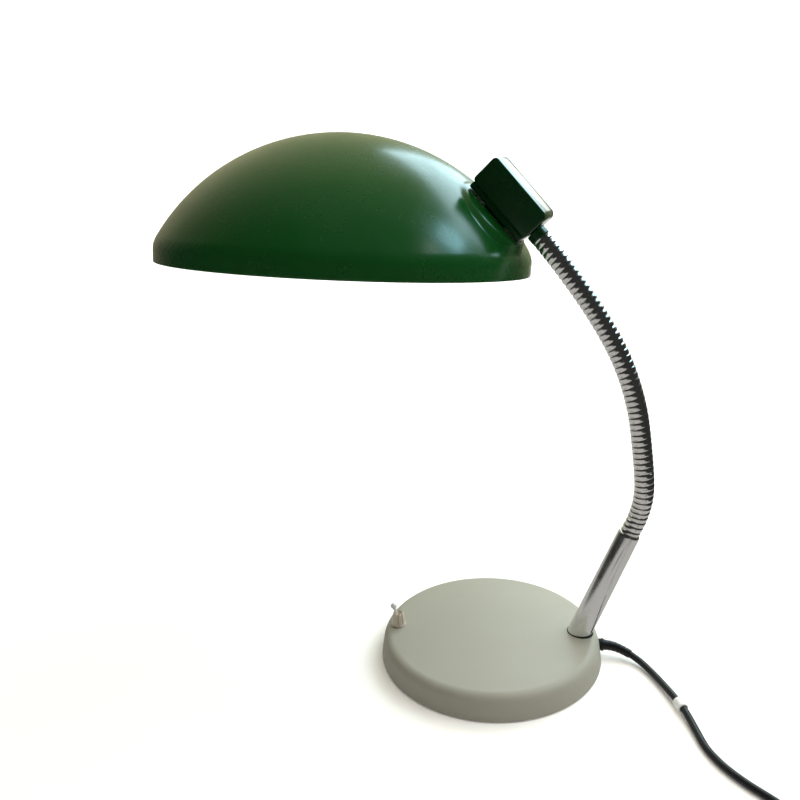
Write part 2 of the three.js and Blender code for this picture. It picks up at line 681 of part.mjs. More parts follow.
bracketShape.closePath();

const holderDir = new THREE.Vector3(-Math.cos(HOLDER_TILT), 0, Math.sin(HOLDER_TILT));
const legMiddle = 27; // holder axis below the bend
const holderSeat = new THREE.Vector3(
  legX - BRACKET_T - legMiddle * Math.tan(HOLDER_TILT), 0, bendZ - legMiddle,
);
const holderFrame = frame(holderSeat, new THREE.Vector3(0, 0, 1), holderDir);
add(
  'holder_bracket',
  cut(
    slab(bracketShape, -BRACKET_W / 2, BRACKET_W / 2),
    onSeat(rod(5.1, -30, 5, 24)),
    onSeat(rod(1.5, -30, 5, 12), rivetSpot),
    rod(3.2, -6, 6, 16).applyMatrix4(holderFrame),
  ),
  zincSteel,
  shadeFrame,
);
add(
  'bracket_rivet',
  onSeat(turned(
    [[0, bracketIn - 1.5], [2.4, bracketIn - 1.3], [2.4, bracketIn - FIT], [1.25, bracketIn - FIT],
      [1.25, -1.1], [0, -1.1]],
    16,
  ), rivetSpot),
  zincSteel,
  shadeFrame,
);

const HOLDER_R = 19;
const HOLDER_L = 46;
add(
  'lampholder',
  turned(
    [[0, FIT], [8, FIT], [HOLDER_R - 3, 2.5], [HOLDER_R - 1, 6], [HOLDER_R - 1, 22], [HOLDER_R, 23],
      [HOLDER_R, HOLDER_L - 1],
      [HOLDER_R - 1, HOLDER_L], [15.2, HOLDER_L], [15.2, 15], [0, 15]],
    24,
  ).applyMatrix4(holderFrame),
  blackPlastic,
  shadeFrame,
);
const holderScrewProfile = [[0, -4.6], [3.8, -4.6], [4.8, -3.6], [4.8, -BRACKET_T - 0.4],
  [2.9, -BRACKET_T - 0.4], [2.9, 0.1],
  [0, 0.1]];
add('holder_screw', turned(holderScrewProfile, 20).applyMatrix4(holderFrame), zincSteel, shadeFrame);
add(
  'bulb_cap',
  turned([[0, 15.4], [4.5, 15.4], [6.5, 18.5], [12.6, 21], [13.2, 23], [13.2, HOLDER_L - 2.5],
    [12.3, HOLDER_L - 2.5],
    [12.3, 23], [6, 20.5], [0, 20.5]], 24)
    .applyMatrix4(holderFrame),
  brass,
  shadeFrame,
);
const GLASS_T = 1.0;
const bulbOutline = [[13.0, -2.2], [14.2, 4], [18, 14], [25, 27], [29, 39], [29.8, 48], [28.2, 58],
  [22.5, 68.5], [12.5, 75.6]];
const bulbProfile = [
  ...bulbOutline.map(([r, z]) => [r, HOLDER_L + z]), [0, HOLDER_L + 78], [0, HOLDER_L + 78 - GLASS_T],
  ...bulbOutline.slice(1).reverse().map(([r, z]) => [r - GLASS_T, HOLDER_L + z - 0.4]), [12.0,
    HOLDER_L - 2.2],
  [13.0, HOLDER_L - 2.2],
];
add('bulb_glass', turned(bulbProfile, 24).applyMatrix4(holderFrame), opalGlass, shadeFrame);

// ---------------------------------------------------------------- wiring hardware in the base

add('terminal_block', block(-2, 26, -7, 7, GROOVE_Z + FIT, GROOVE_Z + 8.5), whitePlastic);
add(
  'cord_clamp',
  cut(
    block(40, 48, -10, 10, GROOVE_Z + FIT, EXIT_Z + CORD_R + 2.6),
    rod(CORD_R + FIT, 30, 60, 16).applyMatrix4(alongX).translate(0, 0, EXIT_Z),
    moved(rod(1.7, 0, 30, 12), 44, 7, 0),
  ),
  blackPlastic,
);
add(
  'clamp_screw',
  moved(turned([[0, 0], [1.4, 0], [1.4, 7.2], [2.8, 7.2], [2.8, 8.6],
    [0, 8.6]], 12), 44, 7, EXIT_Z + CORD_R + 2.6 - 6.9),
  zincSteel,
);

// ---------------------------------------------------------------- cord, relief, clip, coil, plug

// run: straight out of the base, down to the table, then forward and to the right
const lieZ = CORD_R + 0.1; // middle of the cord where it lies on the table
const coilIn = COIL_R - 2 * CORD_R - 0.1;
const coilOut = COIL_R + 2 * CORD_R + 0.1;
const joinX = COIL_X + coilOut + CORD_R + 0.7; // the run comes in beside the coil
const cordRun = [
  [BASE_R - 50, 0, EXIT_Z], [BASE_R - 30, 0, EXIT_Z], [BASE_R - 10, 0, EXIT_Z],
  [BASE_R + 2, 0, EXIT_Z], [BASE_R + 9.5, -0.9, EXIT_Z - 0.7], [BASE_R + 18, -4, 6.0],
  [BASE_R + 26, -11, 4.0], [BASE_R + 32.5, -22.5, 3.3], [BASE_R + 38, -36, 3.5],
  [BASE_R + 42.8, -50, 3.95], [BASE_R + 46.6, -63, 3.9], [BASE_R + 49.5, -78, 3.0],
  [BASE_R + 52.6, -94, lieZ], [BASE_R + 58.5, -107.5, lieZ], [BASE_R + 67.5, -120, lieZ],
  [BASE_R + 79, -132, lieZ], [BASE_R + 92, -146, lieZ], [BASE_R + 105, -162, lieZ],
  [BASE_R + 117, -178, lieZ], [joinX - 5.5, COIL_Y + 29, lieZ], [joinX - 1, COIL_Y + 14, lieZ],
  [joinX, COIL_Y, lieZ],
];
add('cord_run', cordAlong(cordRun, CORD_R, 56, 8), blackRubber);

// relief: a tapered sleeve moulded round the cord where it leaves the base
const reliefCurve = new THREE.CatmullRomCurve3(cordRun.map((p) => new THREE.Vector3(...p)), false,
  'centripetal');
reliefCurve.arcLengthDivisions = 800;
const runLength = reliefCurve.getLength();
const reliefStart = BASE_R - 5.7 - cordRun[0][0]; // arc length where the sleeve begins, inside the wall
const reliefPoint = (s) => reliefCurve.getPointAt(s / runLength);
const reliefTangent = (s) => reliefCurve.getTangentAt(s / runLength).normalize();
add(
  'cord_relief',
  sweptTube(
    reliefPoint, reliefTangent, new THREE.Vector3(0, 1, 0),
    [[reliefStart, 5.4], [reliefStart + 1.1, 5.4], [reliefStart + 1.15, 4.3], [reliefStart + 6.0, 4.3],
      [reliefStart + 6.05, 5.2], [reliefStart + 8, 5.0], [reliefStart + 14, 4.2], [reliefStart + 20, 3.6],
      [reliefStart + 27, 3.1]],
    CORD_R + 0.25, 16,
  ),
  blackRubber,
);

const clipAt = 0.3855 * runLength; // middle of the clip along the run
add(
  'cord_clip',
  sweptTube(
    reliefPoint, reliefTangent, up,
    [[clipAt - 4, 3.3], [clipAt - 3.4, 3.7], [clipAt + 3.4, 3.7], [clipAt + 4, 3.3]],
    CORD_R + 0.25, 14,
  ),
  whitePlastic,
);

// coil: two turns wide and four high, kept as one plain ring here
const coilBottom = 1.1;
const coilTop = CORD_R + 0.1 + 2 * CORD_R * (COIL_LEVELS - 1) + CORD_R;
add(
  'cord_coil',
  turned(
    [[coilIn, coilBottom + 1], [coilIn + 1, coilBottom], [coilOut - 1, coilBottom],
      [coilOut, coilBottom + 1],
      [coilOut, coilTop - 1], [coilOut - 1, coilTop], [coilIn + 1, coilTop], [coilIn, coilTop - 1],
      [coilIn, coilBottom + 1]],
    32,
  ).translate(COIL_X, COIL_Y, 0),
  blackRubber,
);
const TIE_T = 0.8;
add(
  'coil_tie',
  cut(
    block(coilIn - FIT - TIE_T, coilOut + FIT + TIE_T, -2.5, 2.5, 0.1, coilTop + FIT + TIE_T),
    block(coilIn - FIT, coilOut + FIT, -4, 4, 0.1 + TIE_T, coilTop + FIT),
  ).rotateZ(2.2).translate(COIL_X, COIL_Y, 0),
  whitePlastic,
);
const plugZ = 9;
const tailY = COIL_Y - COIL_R - CORD_R; // the last turn leaves the coil along -X here
const cordTail = [
  [COIL_X - 24, tailY, coilTop - CORD_R - 1.5], [COIL_X - 36, tailY + 1.5, coilTop - CORD_R - 6],
  [COIL_X - 48, tailY + 4, 6], [COIL_X - 61, tailY + 7, 4.6], [COIL_X - 75, tailY + 10, 6.6],
  [COIL_X - 90, tailY + 13, plugZ - 0.2], [COIL_X - 104, tailY + 15.8, plugZ],
];
add('cord_tail', cordAlong(cordTail, CORD_R, 18, 8), blackRubber);
const tailEnd = new THREE.Vector3(...cordTail[6]);
const tailDir = tailEnd.clone().sub(new THREE.Vector3(...cordTail[5])).normalize();
const plugFrame = frame(tailEnd, new THREE.Vector3(0, 0, 1), tailDir);
const plugShape = turned(
  [[0, FIT], [3.6, FIT], [4.6, 9], [8.6, 15], [8.8, 30], [8.0, 36], [0, 36]],
  20,
).applyMatrix4(new THREE.Matrix4().makeScale(0.95, 1.35, 1));
add('plug_body', plugShape, blackPlastic, plugFrame);
[-1, 1].forEach((side, i) => {
  const pin = turned([[0, 36 + FIT], [2, 36 + FIT], [2, 53.5], [1.2, 55],
    [0, 55]], 12).translate(0, side * 9.2, 0);
  add(`plug_pin_${i + 1}`, pin, brass, plugFrame);
});

export default group;
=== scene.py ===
# Gooseneck desk lamp: looks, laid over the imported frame. Metres, +Z up.

import json
import math
import bmesh
import bpy
from mathutils import Matrix, Vector


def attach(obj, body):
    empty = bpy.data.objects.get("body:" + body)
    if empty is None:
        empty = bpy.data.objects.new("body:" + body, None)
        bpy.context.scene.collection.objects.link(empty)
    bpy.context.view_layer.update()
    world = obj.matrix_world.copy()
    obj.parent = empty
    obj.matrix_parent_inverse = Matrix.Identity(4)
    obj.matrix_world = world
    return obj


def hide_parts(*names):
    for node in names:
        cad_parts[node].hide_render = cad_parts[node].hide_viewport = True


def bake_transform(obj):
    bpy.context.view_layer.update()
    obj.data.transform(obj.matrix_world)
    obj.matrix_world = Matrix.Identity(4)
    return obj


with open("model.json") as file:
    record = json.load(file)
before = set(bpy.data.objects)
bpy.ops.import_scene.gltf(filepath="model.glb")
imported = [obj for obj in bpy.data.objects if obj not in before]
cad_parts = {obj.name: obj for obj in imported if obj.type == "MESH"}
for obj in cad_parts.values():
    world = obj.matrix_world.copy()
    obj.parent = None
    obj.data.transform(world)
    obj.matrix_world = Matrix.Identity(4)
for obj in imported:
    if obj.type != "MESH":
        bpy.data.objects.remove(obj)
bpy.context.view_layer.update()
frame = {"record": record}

MM = 0.001

# ---------------------------------------------------------------- sizes shared with the CAD source

BASE_R = 80 * MM
BASE_EDGE_H = 18.6 * MM
BASE_CROWN = 2.6 * MM
SHOULDER_R = 7.5 * MM
SHELL_T = 1.4 * MM
STEM_INSET = 15.1 * MM
STEM_LEAN = math.radians(21.5)
STEM_L = 85 * MM
STEM_R_FOOT = 8.2 * MM
STEM_R_TOP = 7.6 * MM
NECK_R = 6.65 * MM
RIB_PITCH = 4.0 * MM
RIB_DEPTH = 0.6 * MM  # shallower than the CAD ribs, whose depth is 0.75 mm
SWITCH_INSET = 12.2 * MM
LEVER_L = 11.5 * MM
LEVER_LEAN = math.radians(17)
RIM_R = 135.4 * MM
BAND_H = 15 * MM
SHOULDER_IN = 1.2 * MM
DISH_RISE = 78.46 * MM
DOME_R = ((RIM_R - SHOULDER_IN) ** 2 + DISH_RISE ** 2) / (2 * DISH_RISE)
RIM_Z = DOME_R - DISH_RISE - BAND_H
SHADE_T = 0.9 * MM
PIVOT_ANGLE = math.radians(44.3)
SHADE_TURN = math.radians(-7.65)
SEAT_RISE = 0.8 * MM
SEAT_SHIFT = 8 * MM
SEAT_R = 26 * MM
SEAT_DIST = DOME_R + SEAT_RISE
BOX_L = 51 * MM
BOX_T = 21 * MM
BOX_W = 24 * MM
BOX_GAP = 5.6 * MM
NECK_OFFSET = 11.8 * MM
FERRULE_L = 6 * MM
PIVOT_HOLE_R = 5.1 * MM
CORD_R = 2.4 * MM
EXIT_Z = 9 * MM
COIL_R = 29 * MM
COIL_LEVELS = 4
COIL_X = BASE_R + 96 * MM
COIL_Y = -222 * MM

# ---------------------------------------------------------------- frames taken from the joints

JOINTS = {j["name"]: j for j in frame["record"]["behaviour"]["joints"]}
SWIVEL = JOINTS["shade_swivel"]
ACROSS = Vector(JOINTS["neck_bend_1"]["axis"]).normalized()
PIVOT = Vector(SWIVEL["axis"]).normalized()
BOX_DIR = PIVOT.cross(ACROSS).normalized()


def frame_matrix(origin, x_dir, z_dir):
    """A rigid frame from an origin and two of its directions."""
    z = z_dir.normalized()
    y = z.cross(x_dir).normalized()
    x = y.cross(z)
    m = Matrix((x, y, z)).transposed().to_4x4()
    m.translation = origin
    return m


HEAD = frame_matrix(Vector(SWIVEL["pos_m"]), PIVOT, BOX_DIR)
SHADE = (
    HEAD
    @ Matrix.Rotation(SHADE_TURN, 4, "X")
    @ Matrix.Translation((-SEAT_DIST, 0, SEAT_SHIFT))
    @ Matrix.Rotation(PIVOT_ANGLE, 4, "Y")
)

STEM_X = BASE_R - STEM_INSET
STEM_DIR = Vector((math.sin(STEM_LEAN), 0, math.cos(STEM_LEAN)))
SWITCH_X = -(BASE_R - SWITCH_INSET)


def cover_z(r):
    """Height of the base's crowned top at a distance from its middle."""
    return BASE_EDGE_H + BASE_CROWN * (1 - (r / (BASE_R - SHOULDER_R - 1.5 * MM)) ** 2)


STEM_FOOT = Vector((STEM_X, 0, cover_z(STEM_X) + 1.1 * MM))
STEM_TOP = STEM_FOOT + STEM_DIR * STEM_L

# ---------------------------------------------------------------- camera

CAMERA_AT = Vector((0.0098, -0.5102, 0.3522))
CAMERA_TURN = math.radians(-7.88)  # to the left of +Y
CAMERA_DOWN = math.radians(17.03)
CAMERA_ROLL = math.radians(-2.08)
CAMERA_LENS = 35.55  # on a 36 mm wide square frame


def make_camera():
    forward = Vector((
        math.sin(CAMERA_TURN) * math.cos(CAMERA_DOWN),
        math.cos(CAMERA_TURN) * math.cos(CAMERA_DOWN),
        -math.sin(CAMERA_DOWN),
    ))
    level = Vector((math.cos(CAMERA_TURN), -math.sin(CAMERA_TURN), 0))
    upright = level.cross(forward)
    right = level * math.cos(CAMERA_ROLL) + upright * math.sin(CAMERA_ROLL)
    data = bpy.data.cameras.new("camera")
    data.lens = CAMERA_LENS
    data.sensor_width = 36
    data.clip_start = 0.01
    camera = bpy.data.objects.new("camera", data)
    camera.matrix_world = frame_matrix(CAMERA_AT, right, -forward)
    bpy.context.scene.collection.objects.link(camera)
    bpy.context.scene.camera = camera


make_camera()

# ---------------------------------------------------------------- materials


class Nodes:
    """A small helper round one material's node tree."""

    def __init__(self, name):
        self.material = bpy.data.materials.new(name)
        self.material.use_nodes = True
        self.tree = self.material.node_tree
        self.shader = self.tree.nodes["Principled BSDF"]
        coord = self.tree.nodes.new("ShaderNodeTexCoord")
        self.place = coord.outputs["Object"]

    def set(self, **values):
        for key, value in values.items():
            self.shader.inputs[key.replace("_", " ")].default_value = value
        return self

    def link(self, source, target):
        self.tree.links.new(source, target)

    def noise(self, scale, detail=3.0, rough=0.5, stretch=None):
        node = self.tree.nodes.new("ShaderNodeTexNoise")
        node.inputs["Scale"].default_value = scale
        node.inputs["Detail"].default_value = detail
        node.inputs["Roughness"].default_value = rough
        source = self.place
        if stretch:
            mapping = self.tree.nodes.new("ShaderNodeMapping")
            mapping.inputs["Scale"].default_value = stretch
            self.link(self.place, mapping.inputs["Vector"])
            source = mapping.outputs["Vector"]
        self.link(source, node.inputs["Vector"])
        return node.outputs["Fac"]

    def ramp(self, fac, low, high, to_low=0.0, to_high=1.0):
        node = self.tree.nodes.new("ShaderNodeMapRange")
        node.inputs["From Min"].default_value = low
        node.inputs["From Max"].default_value = high
        node.inputs["To Min"].default_value = to_low
        node.inputs["To Max"].default_value = to_high
        self.link(fac, node.inputs["Value"])
        return node.outputs["Result"]

    def mix(self, fac, a, b):
        node = self.tree.nodes.new("ShaderNodeMix")
        node.data_type = "RGBA"
        self.link(fac, node.inputs["Factor"])
        for socket, value in ((node.inputs["A"], a), (node.inputs["B"], b)):
            if isinstance(value, tuple):
                socket.default_value = (*value, 1.0)
            else:
                self.link(value, socket)
        return node.outputs["Result"]

    def colour(self, output):
        self.link(output, self.shader.inputs["Base Color"])
        return self

    def roughness(self, output):
        self.link(output, self.shader.inputs["Roughness"])
        return self

    def bump(self, *layers):
        """layers: (height output, depth in metres)"""
        normal = None
        for height, depth in layers:
            node = self.tree.nodes.new("ShaderNodeBump")
            node.inputs["Strength"].default_value = 1.0
            node.inputs["Distance"].default_value = depth
            self.link(height, node.inputs["Height"])
            if normal:
                self.link(normal, node.inputs["Normal"])
            normal = node.outputs["Normal"]
        self.link(normal, self.shader.inputs["Normal"])
        return self


def enamel(name, colour, dark, rough, grain=0.000004):
    n = Nodes(name).set(Specular_IOR_Level=0.5, Coat_Weight=0.12, Coat_Roughness=0.16)
    cloud = n.noise(9, 4, 0.55)
    n.colour(n.mix(n.ramp(cloud, 0.3, 0.72), dark, colour))
    n.roughness(n.ramp(n.noise(38, 4, 0.6), 0.3, 0.7, rough - 0.05, rough + 0.06))
    n.bump((n.noise(260, 1, 0.4), grain))
    return n.material


def satin_paint(name, colour, dark):
    n = Nodes(name).set(Specular_IOR_Level=0.42)
    cloud = n.noise(14, 5, 0.6)
    specks = n.ramp(n.noise(900, 2, 0.6), 0.62, 0.74)
    tone = n.mix(n.ramp(cloud, 0.3, 0.7), dark, colour)
    n.colour(n.mix(specks, tone, tuple(c * 0.93 for c in colour)))
    n.roughness(n.ramp(n.noise(60, 4, 0.6), 0.3, 0.7, 0.4, 0.52))
    n.bump((n.noise(650, 3, 0.55), 0.00005))
    return n.material


def metal(name, colour, rough, spread=0.04, brushed=None, grain=0.00001, metallic=1.0):
    n = Nodes(name).set(Metallic=metallic)
    smudge = n.noise(45, 4, 0.6)
    n.colour(n.mix(n.ramp(smudge, 0.3, 0.75), tuple(c * 0.93 for c in colour), colour))
    n.roughness(n.ramp(n.noise(120, 3, 0.6, brushed), 0.3, 0.7, max(0.02, rough - spread), rough + spread))
    n.bump((n.noise(800, 2, 0.5, brushed), grain))
    return n.material


def plastic(name, colour, rough, grain=0.00003):
    n = Nodes(name).set(Specular_IOR_Level=0.45)
    cloud = n.noise(70, 3, 0.5)
    n.colour(n.mix(n.ramp(cloud, 0.3, 0.7), tuple(c * 0.9 for c in colour), colour))
    n.roughness(n.ramp(n.noise(160, 3, 0.6), 0.3, 0.7, rough - 0.05, rough + 0.06))
    n.bump((n.noise(1400, 2, 0.5), grain))
    return n.material


def rough_iron(name):
    n = Nodes(name).set(Metallic=0.6)
    n.colour(n.mix(n.noise(80, 5, 0.65), (0.05, 0.05, 0.052), (0.11, 0.105, 0.1)))
    n.roughness(n.ramp(n.noise(200, 4, 0.6), 0.3, 0.7, 0.6, 0.82))
    n.bump((n.noise(500, 5, 0.7), 0.0003))
    return n.material


def felt_cloth(name):
    n = Nodes(name).set(Sheen_Weight=0.5, Sheen_Roughness=0.6)
    n.colour(n.mix(n.noise(900, 6, 0.8), (0.012, 0.016, 0.013), (0.035, 0.045, 0.038)))
    n.roughness(n.ramp(n.noise(300, 3, 0.5), 0.3, 0.7, 0.88, 1.0))
    n.bump((n.noise(1600, 6, 0.85), 0.0004))
    return n.material


def opal(name):
    n = Nodes(name).set(Specular_IOR_Level=0.5, Subsurface_Weight=0.3, Subsurface_Scale=0.004)
    n.colour(n.mix(n.noise(30, 2, 0.5), (0.86, 0.85, 0.80), (0.92, 0.91, 0.88)))
    n.roughness(n.ramp(n.noise(140, 2, 0.5), 0.3, 0.7, 0.16, 0.24))
    n.bump((n.noise(500, 2, 0.5), 0.00002))
    return n.material


GREEN = enamel("green_enamel", (0.0046, 0.062, 0.0095), (0.0038, 0.052, 0.008), 0.25)
# a darker copy of the green enamel for the box and ferrule: its darkness is painted shade for the box face
# turned to the dark room
SHADED_BOX_GREEN = enamel("shaded_box_green", (0.003, 0.034, 0.007), (0.0025, 0.028, 0.006), 0.24, 0.000001)
WHITE_ENAMEL = enamel("white_enamel", (0.79, 0.79, 0.76), (0.77, 0.77, 0.735), 0.3)
GREIGE = satin_paint("greige_paint", (0.350, 0.334, 0.276), (0.328, 0.313, 0.258))
CHROME = metal("chrome", (0.80, 0.81, 0.83), 0.09)
STEM_CHROME = metal("stem_chrome", (0.86, 0.87, 0.88), 0.15, 0.05, None, 0.00002)
NECK_CHROME = metal("neck_chrome", (0.86, 0.86, 0.87), 0.16, 0.05, None, 0.00002)
ZINC = metal("zinc_steel", (0.58, 0.60, 0.62), 0.36, 0.06, (1, 1, 12))
LEVER_METAL = metal("lever_metal", (0.86, 0.84, 0.82), 0.35, 0.05, None, 0.000005, 0.35)
BRASS = metal("brass", (0.68, 0.48, 0.18), 0.3, 0.06)
CREAM = plastic("cream_plastic", (0.66, 0.57, 0.46), 0.38)
WHITE = plastic("white_plastic", (0.86, 0.86, 0.84), 0.42)
BLACK = plastic("black_plastic", (0.012, 0.012, 0.013), 0.42)
RUBBER = plastic("black_rubber", (0.009, 0.009, 0.010), 0.4, 0.00005)
FIBRE = plastic("red_fibre", (0.030, 0.012, 0.009), 0.7, 0.0001)
IRON = rough_iron("cast_iron")
FELT = felt_cloth("felt")
GLASS = opal("opal_glass")

CAD_FINISH = {
    "felt": FELT,
    "zinc_steel": ZINC,
    "cast_iron": IRON,
    "greige_paint": GREIGE,
    "green_enamel": GREEN,
    "dark_green_paint": SHADED_BOX_GREEN,
    "chrome": CHROME,
    "brass": BRASS,
    "cream_plastic": CREAM,
    "white_plastic": WHITE,
    "black_plastic": BLACK,
    "black_rubber": RUBBER,
    "red_fibre": FIBRE,
    "opal_glass": GLASS,
}


def finish_cad_nodes():
    """Every carried-over CAD node takes the procedural finish of its record slot."""
    for part in frame["record"]["subparts"]:
        obj = bpy.data.objects.get(part["node"])
        if obj is None or obj.type != "MESH":
            continue
        obj.data.materials.clear()
        obj.data.materials.append(CAD_FINISH[part["material_slot"]])


finish_cad_nodes()

# ---------------------------------------------------------------- mesh helpers


def add_piece(name, mesh, materials, body, nodes=(), smooth=True):
    for m in materials:
        mesh.materials.append(m)
    for polygon in mesh.polygons:
        polygon.use_smooth = smooth
    obj = bpy.data.objects.new(name, mesh)
    bpy.context.scene.collection.objects.link(obj)
    if body:
        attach(obj, body)
    if nodes:
        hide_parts(*nodes)
    return obj


def mesh_from(name, verts, faces):
    mesh = bpy.data.meshes.new(name)
    mesh.from_pydata([tuple(v) for v in verts], [], faces)
    bm = bmesh.new()
    bm.from_mesh(mesh)
    bmesh.ops.remove_doubles(bm, verts=bm.verts, dist=1e-6)
    bmesh.ops.recalc_face_normals(bm, faces=bm.faces)
    bm.to_mesh(mesh)
    bm.free()
    mesh.update()
    return mesh


def turned(name, profile, sides, matrix=None):
    """A turned solid about Z. The profile starts and ends on the axis, or closes on itself."""
    verts = []
    faces = []
    count = len(profile)
    closed = (Vector(profile[0]) - Vector(profile[-1])).length < 1e-9
    if closed:
        profile = profile[:-1]
        count -= 1
    for r, z in profile:
        for k in range(sides):
            a = 2 * math.pi * k / sides
            verts.append(Vector((r * math.cos(a), r * math.sin(a), z)))
    for i in range(count if closed else count - 1):
        j = (i + 1) % count
        for k in range(sides):
            n = (k + 1) % sides
            faces.append((i * sides + k, i * sides + n, j * sides + n, j * sides + k))
    if matrix:
        verts = [matrix @ v for v in verts]
    return mesh_from(name, verts, faces)


def arc(cx, cz, radius, start, end, steps):
    """Points of an arc in degrees, for a profile."""
    points = []
    for k in range(steps + 1):
        a = math.radians(start + (end - start) * k / steps)
        points.append((cx + radius * math.cos(a), cz + radius * math.sin(a)))
    return points


def smoothstep(x):
    x = max(0.0, min(1.0, x))
    return x * x * (3 - 2 * x)


def spline(points, per_span=8):
    """A centripetal curve through the points."""
    pts = [Vector(p) for p in points]
    pts = [2 * pts[0] - pts[1]] + pts + [2 * pts[-1] - pts[-2]]
    out = []
    for i in range(1, len(pts) - 2):
        p0, p1, p2, p3 = pts[i - 1:i + 3]
        t0 = 0.0
        t1 = t0 + math.sqrt((p1 - p0).length)
        t2 = t1 + math.sqrt((p2 - p1).length)
        t3 = t2 + math.sqrt((p3 - p2).length)
        for k in range(per_span):
            t = t1 + (t2 - t1) * k / per_span
            a1 = p0 * ((t1 - t) / (t1 - t0)) + p1 * ((t - t0) / (t1 - t0))
            a2 = p1 * ((t2 - t) / (t2 - t1)) + p2 * ((t - t1) / (t2 - t1))
            a3 = p2 * ((t3 - t) / (t3 - t2)) + p3 * ((t - t2) / (t3 - t2))
            b1 = a1 * ((t2 - t) / (t2 - t0)) + a2 * ((t - t0) / (t2 - t0))
            b2 = a2 * ((t3 - t) / (t3 - t1)) + a3 * ((t - t1) / (t3 - t1))
            out.append(b1 * ((t2 - t) / (t2 - t1)) + b2 * ((t - t1) / (t2 - t1)))
    out.append(pts[-2])
    return out


class Route:
    """A polyline that can be read at any distance along it."""

    def __init__(self, points):
        self.points = points
        self.at = [0.0]
        for a, b in zip(points, points[1:]):
            self.at.append(self.at[-1] + (b - a).length)
        self.length = self.at[-1]

    def point(self, s):
        s = max(0.0, min(self.length, s))
        low, high = 0, len(self.at) - 1
        while high - low > 1:
            middle = (low + high) // 2
            if self.at[middle] <= s:
                low = middle
            else:
                high = middle
        span = self.at[high] - self.at[low]
        return self.points[low].lerp(self.points[high], (s - self.at[low]) / span)

    def tangent(self, s, step=0.0008):
        return (self.point(s + step) - self.point(s - step)).normalized()


def tube(name, route, stations, sides, bore=0.0, hint=Vector((0, 0, 1))):
    """A tube along a route: stations are (distance, outer radius); closed at both ends or bored."""
    rings = []
    side = None
    for s, radius in stations:
        t = route.tangent(s)
        if side is None:
            side = hint - t * hint.dot(t)
            if side.length < 1e-3:
                side = Vector((1, 0, 0)) - t * t.x
        side = (side - t * side.dot(t)).normalized()
        rings.append((route.point(s), t, side.copy(), radius))
    if bore:
        for centre, t, u, _ in reversed(rings[:]):
            rings.append((centre, t, u, bore))
    verts = []
    faces = []
    for centre, t, u, radius in rings:
        v = t.cross(u)
        for k in range(sides):
            a = 2 * math.pi * k / sides
            verts.append(centre + u * (radius * math.cos(a)) + v * (radius * math.sin(a)))
    count = len(rings)
    for i in range(count if bore else count - 1):
        j = (i + 1) % count
        for k in range(sides):
            n = (k + 1) % sides
            faces.append((i * sides + k, i * sides + n, j * sides + n, j * sides + k))
    if not bore:
        faces.append(tuple(range(sides))[::-1])
        faces.append(tuple((count - 1) * sides + k for k in range(sides)))
    return mesh_from(name, verts, faces)


def rounded_box(name, outline, depth0, depth1, bevel, segments, matrix):
    """An X-Z outline carried across Y, its edges rounded."""
    bm = bmesh.new()
    low = [bm.verts.new((x, depth0, z)) for x, z in outline]
    high = [bm.verts.new((x, depth1, z)) for x, z in outline]
    bm.faces.new(low)
    bm.faces.new(high[::-1])
    count = len(outline)
    for i in range(count):
        j = (i + 1) % count
        bm.faces.new((low[i], high[i], high[j], low[j]))
    bmesh.ops.recalc_face_normals(bm, faces=bm.faces)
    caps = [e for e in bm.edges if abs(e.verts[0].co.y - e.verts[1].co.y) < 1e-7]
    bmesh.ops.bevel(bm, geom=caps, offset=bevel, segments=segments, profile=0.5, affect="EDGES")
    bm.transform(matrix)
    mesh = bpy.data.meshes.new(name)
    bm.to_mesh(mesh)
    bm.free()
    return mesh


# ---------------------------------------------------------------- cord

# distances from the base's edge, millimetres: out of the base, down, forward and to the right
CORD_RUN = [
    (-10, 0, 9), (2, 0, 9), (9.5, -0.9, 8.3), (18, -4, 6.0), (26, -11, 4.0), (32.5, -22.5, 3.3),
    (38, -36, 3.5), (42.8, -50, 3.95), (46.6, -63, 3.9), (49.5, -78, 3.0), (52.6, -94, 2.5),
    (58.5, -107.5, 2.5), (67.5, -120, 2.5), (79, -132, 2.5), (92, -146, 2.5), (105, -162, 2.5),
    (117, -178, 2.5), (127.5, -193, 2.5), (132, -208, 2.5),
]
TURNS = 7.25
CORD_Z = CORD_R + 0.1 * MM


def coil_points():
    """Two turns wide and four high: out, in, then up a level and back out."""
    outer = COIL_R + CORD_R
    inner = COIL_R - CORD_R
    columns = [outer, inner, inner, outer, outer, inner, inner, outer, outer]
    levels = [0, 0, 1, 1, 2, 2, 3, 3, 3]
    points = []
    per_turn = 24
    for step in range(int(TURNS * per_turn) + 1):
        t = step / per_turn
        k = int(t)
        f = smoothstep((t - k - 0.8) / 0.2)
        radius = columns[k] + (columns[k + 1] - columns[k]) * f
        level = levels[k] + (levels[k + 1] - levels[k]) * f
        if t < 0.25:
            radius += (37 * MM - outer) * (1 - smoothstep(t / 0.25))
        a = -2 * math.pi * t
        points.append(Vector((
            COIL_X + radius * math.cos(a),
            COIL_Y + radius * math.sin(a),
            CORD_Z + 2 * CORD_R * level,
        )))
    return points


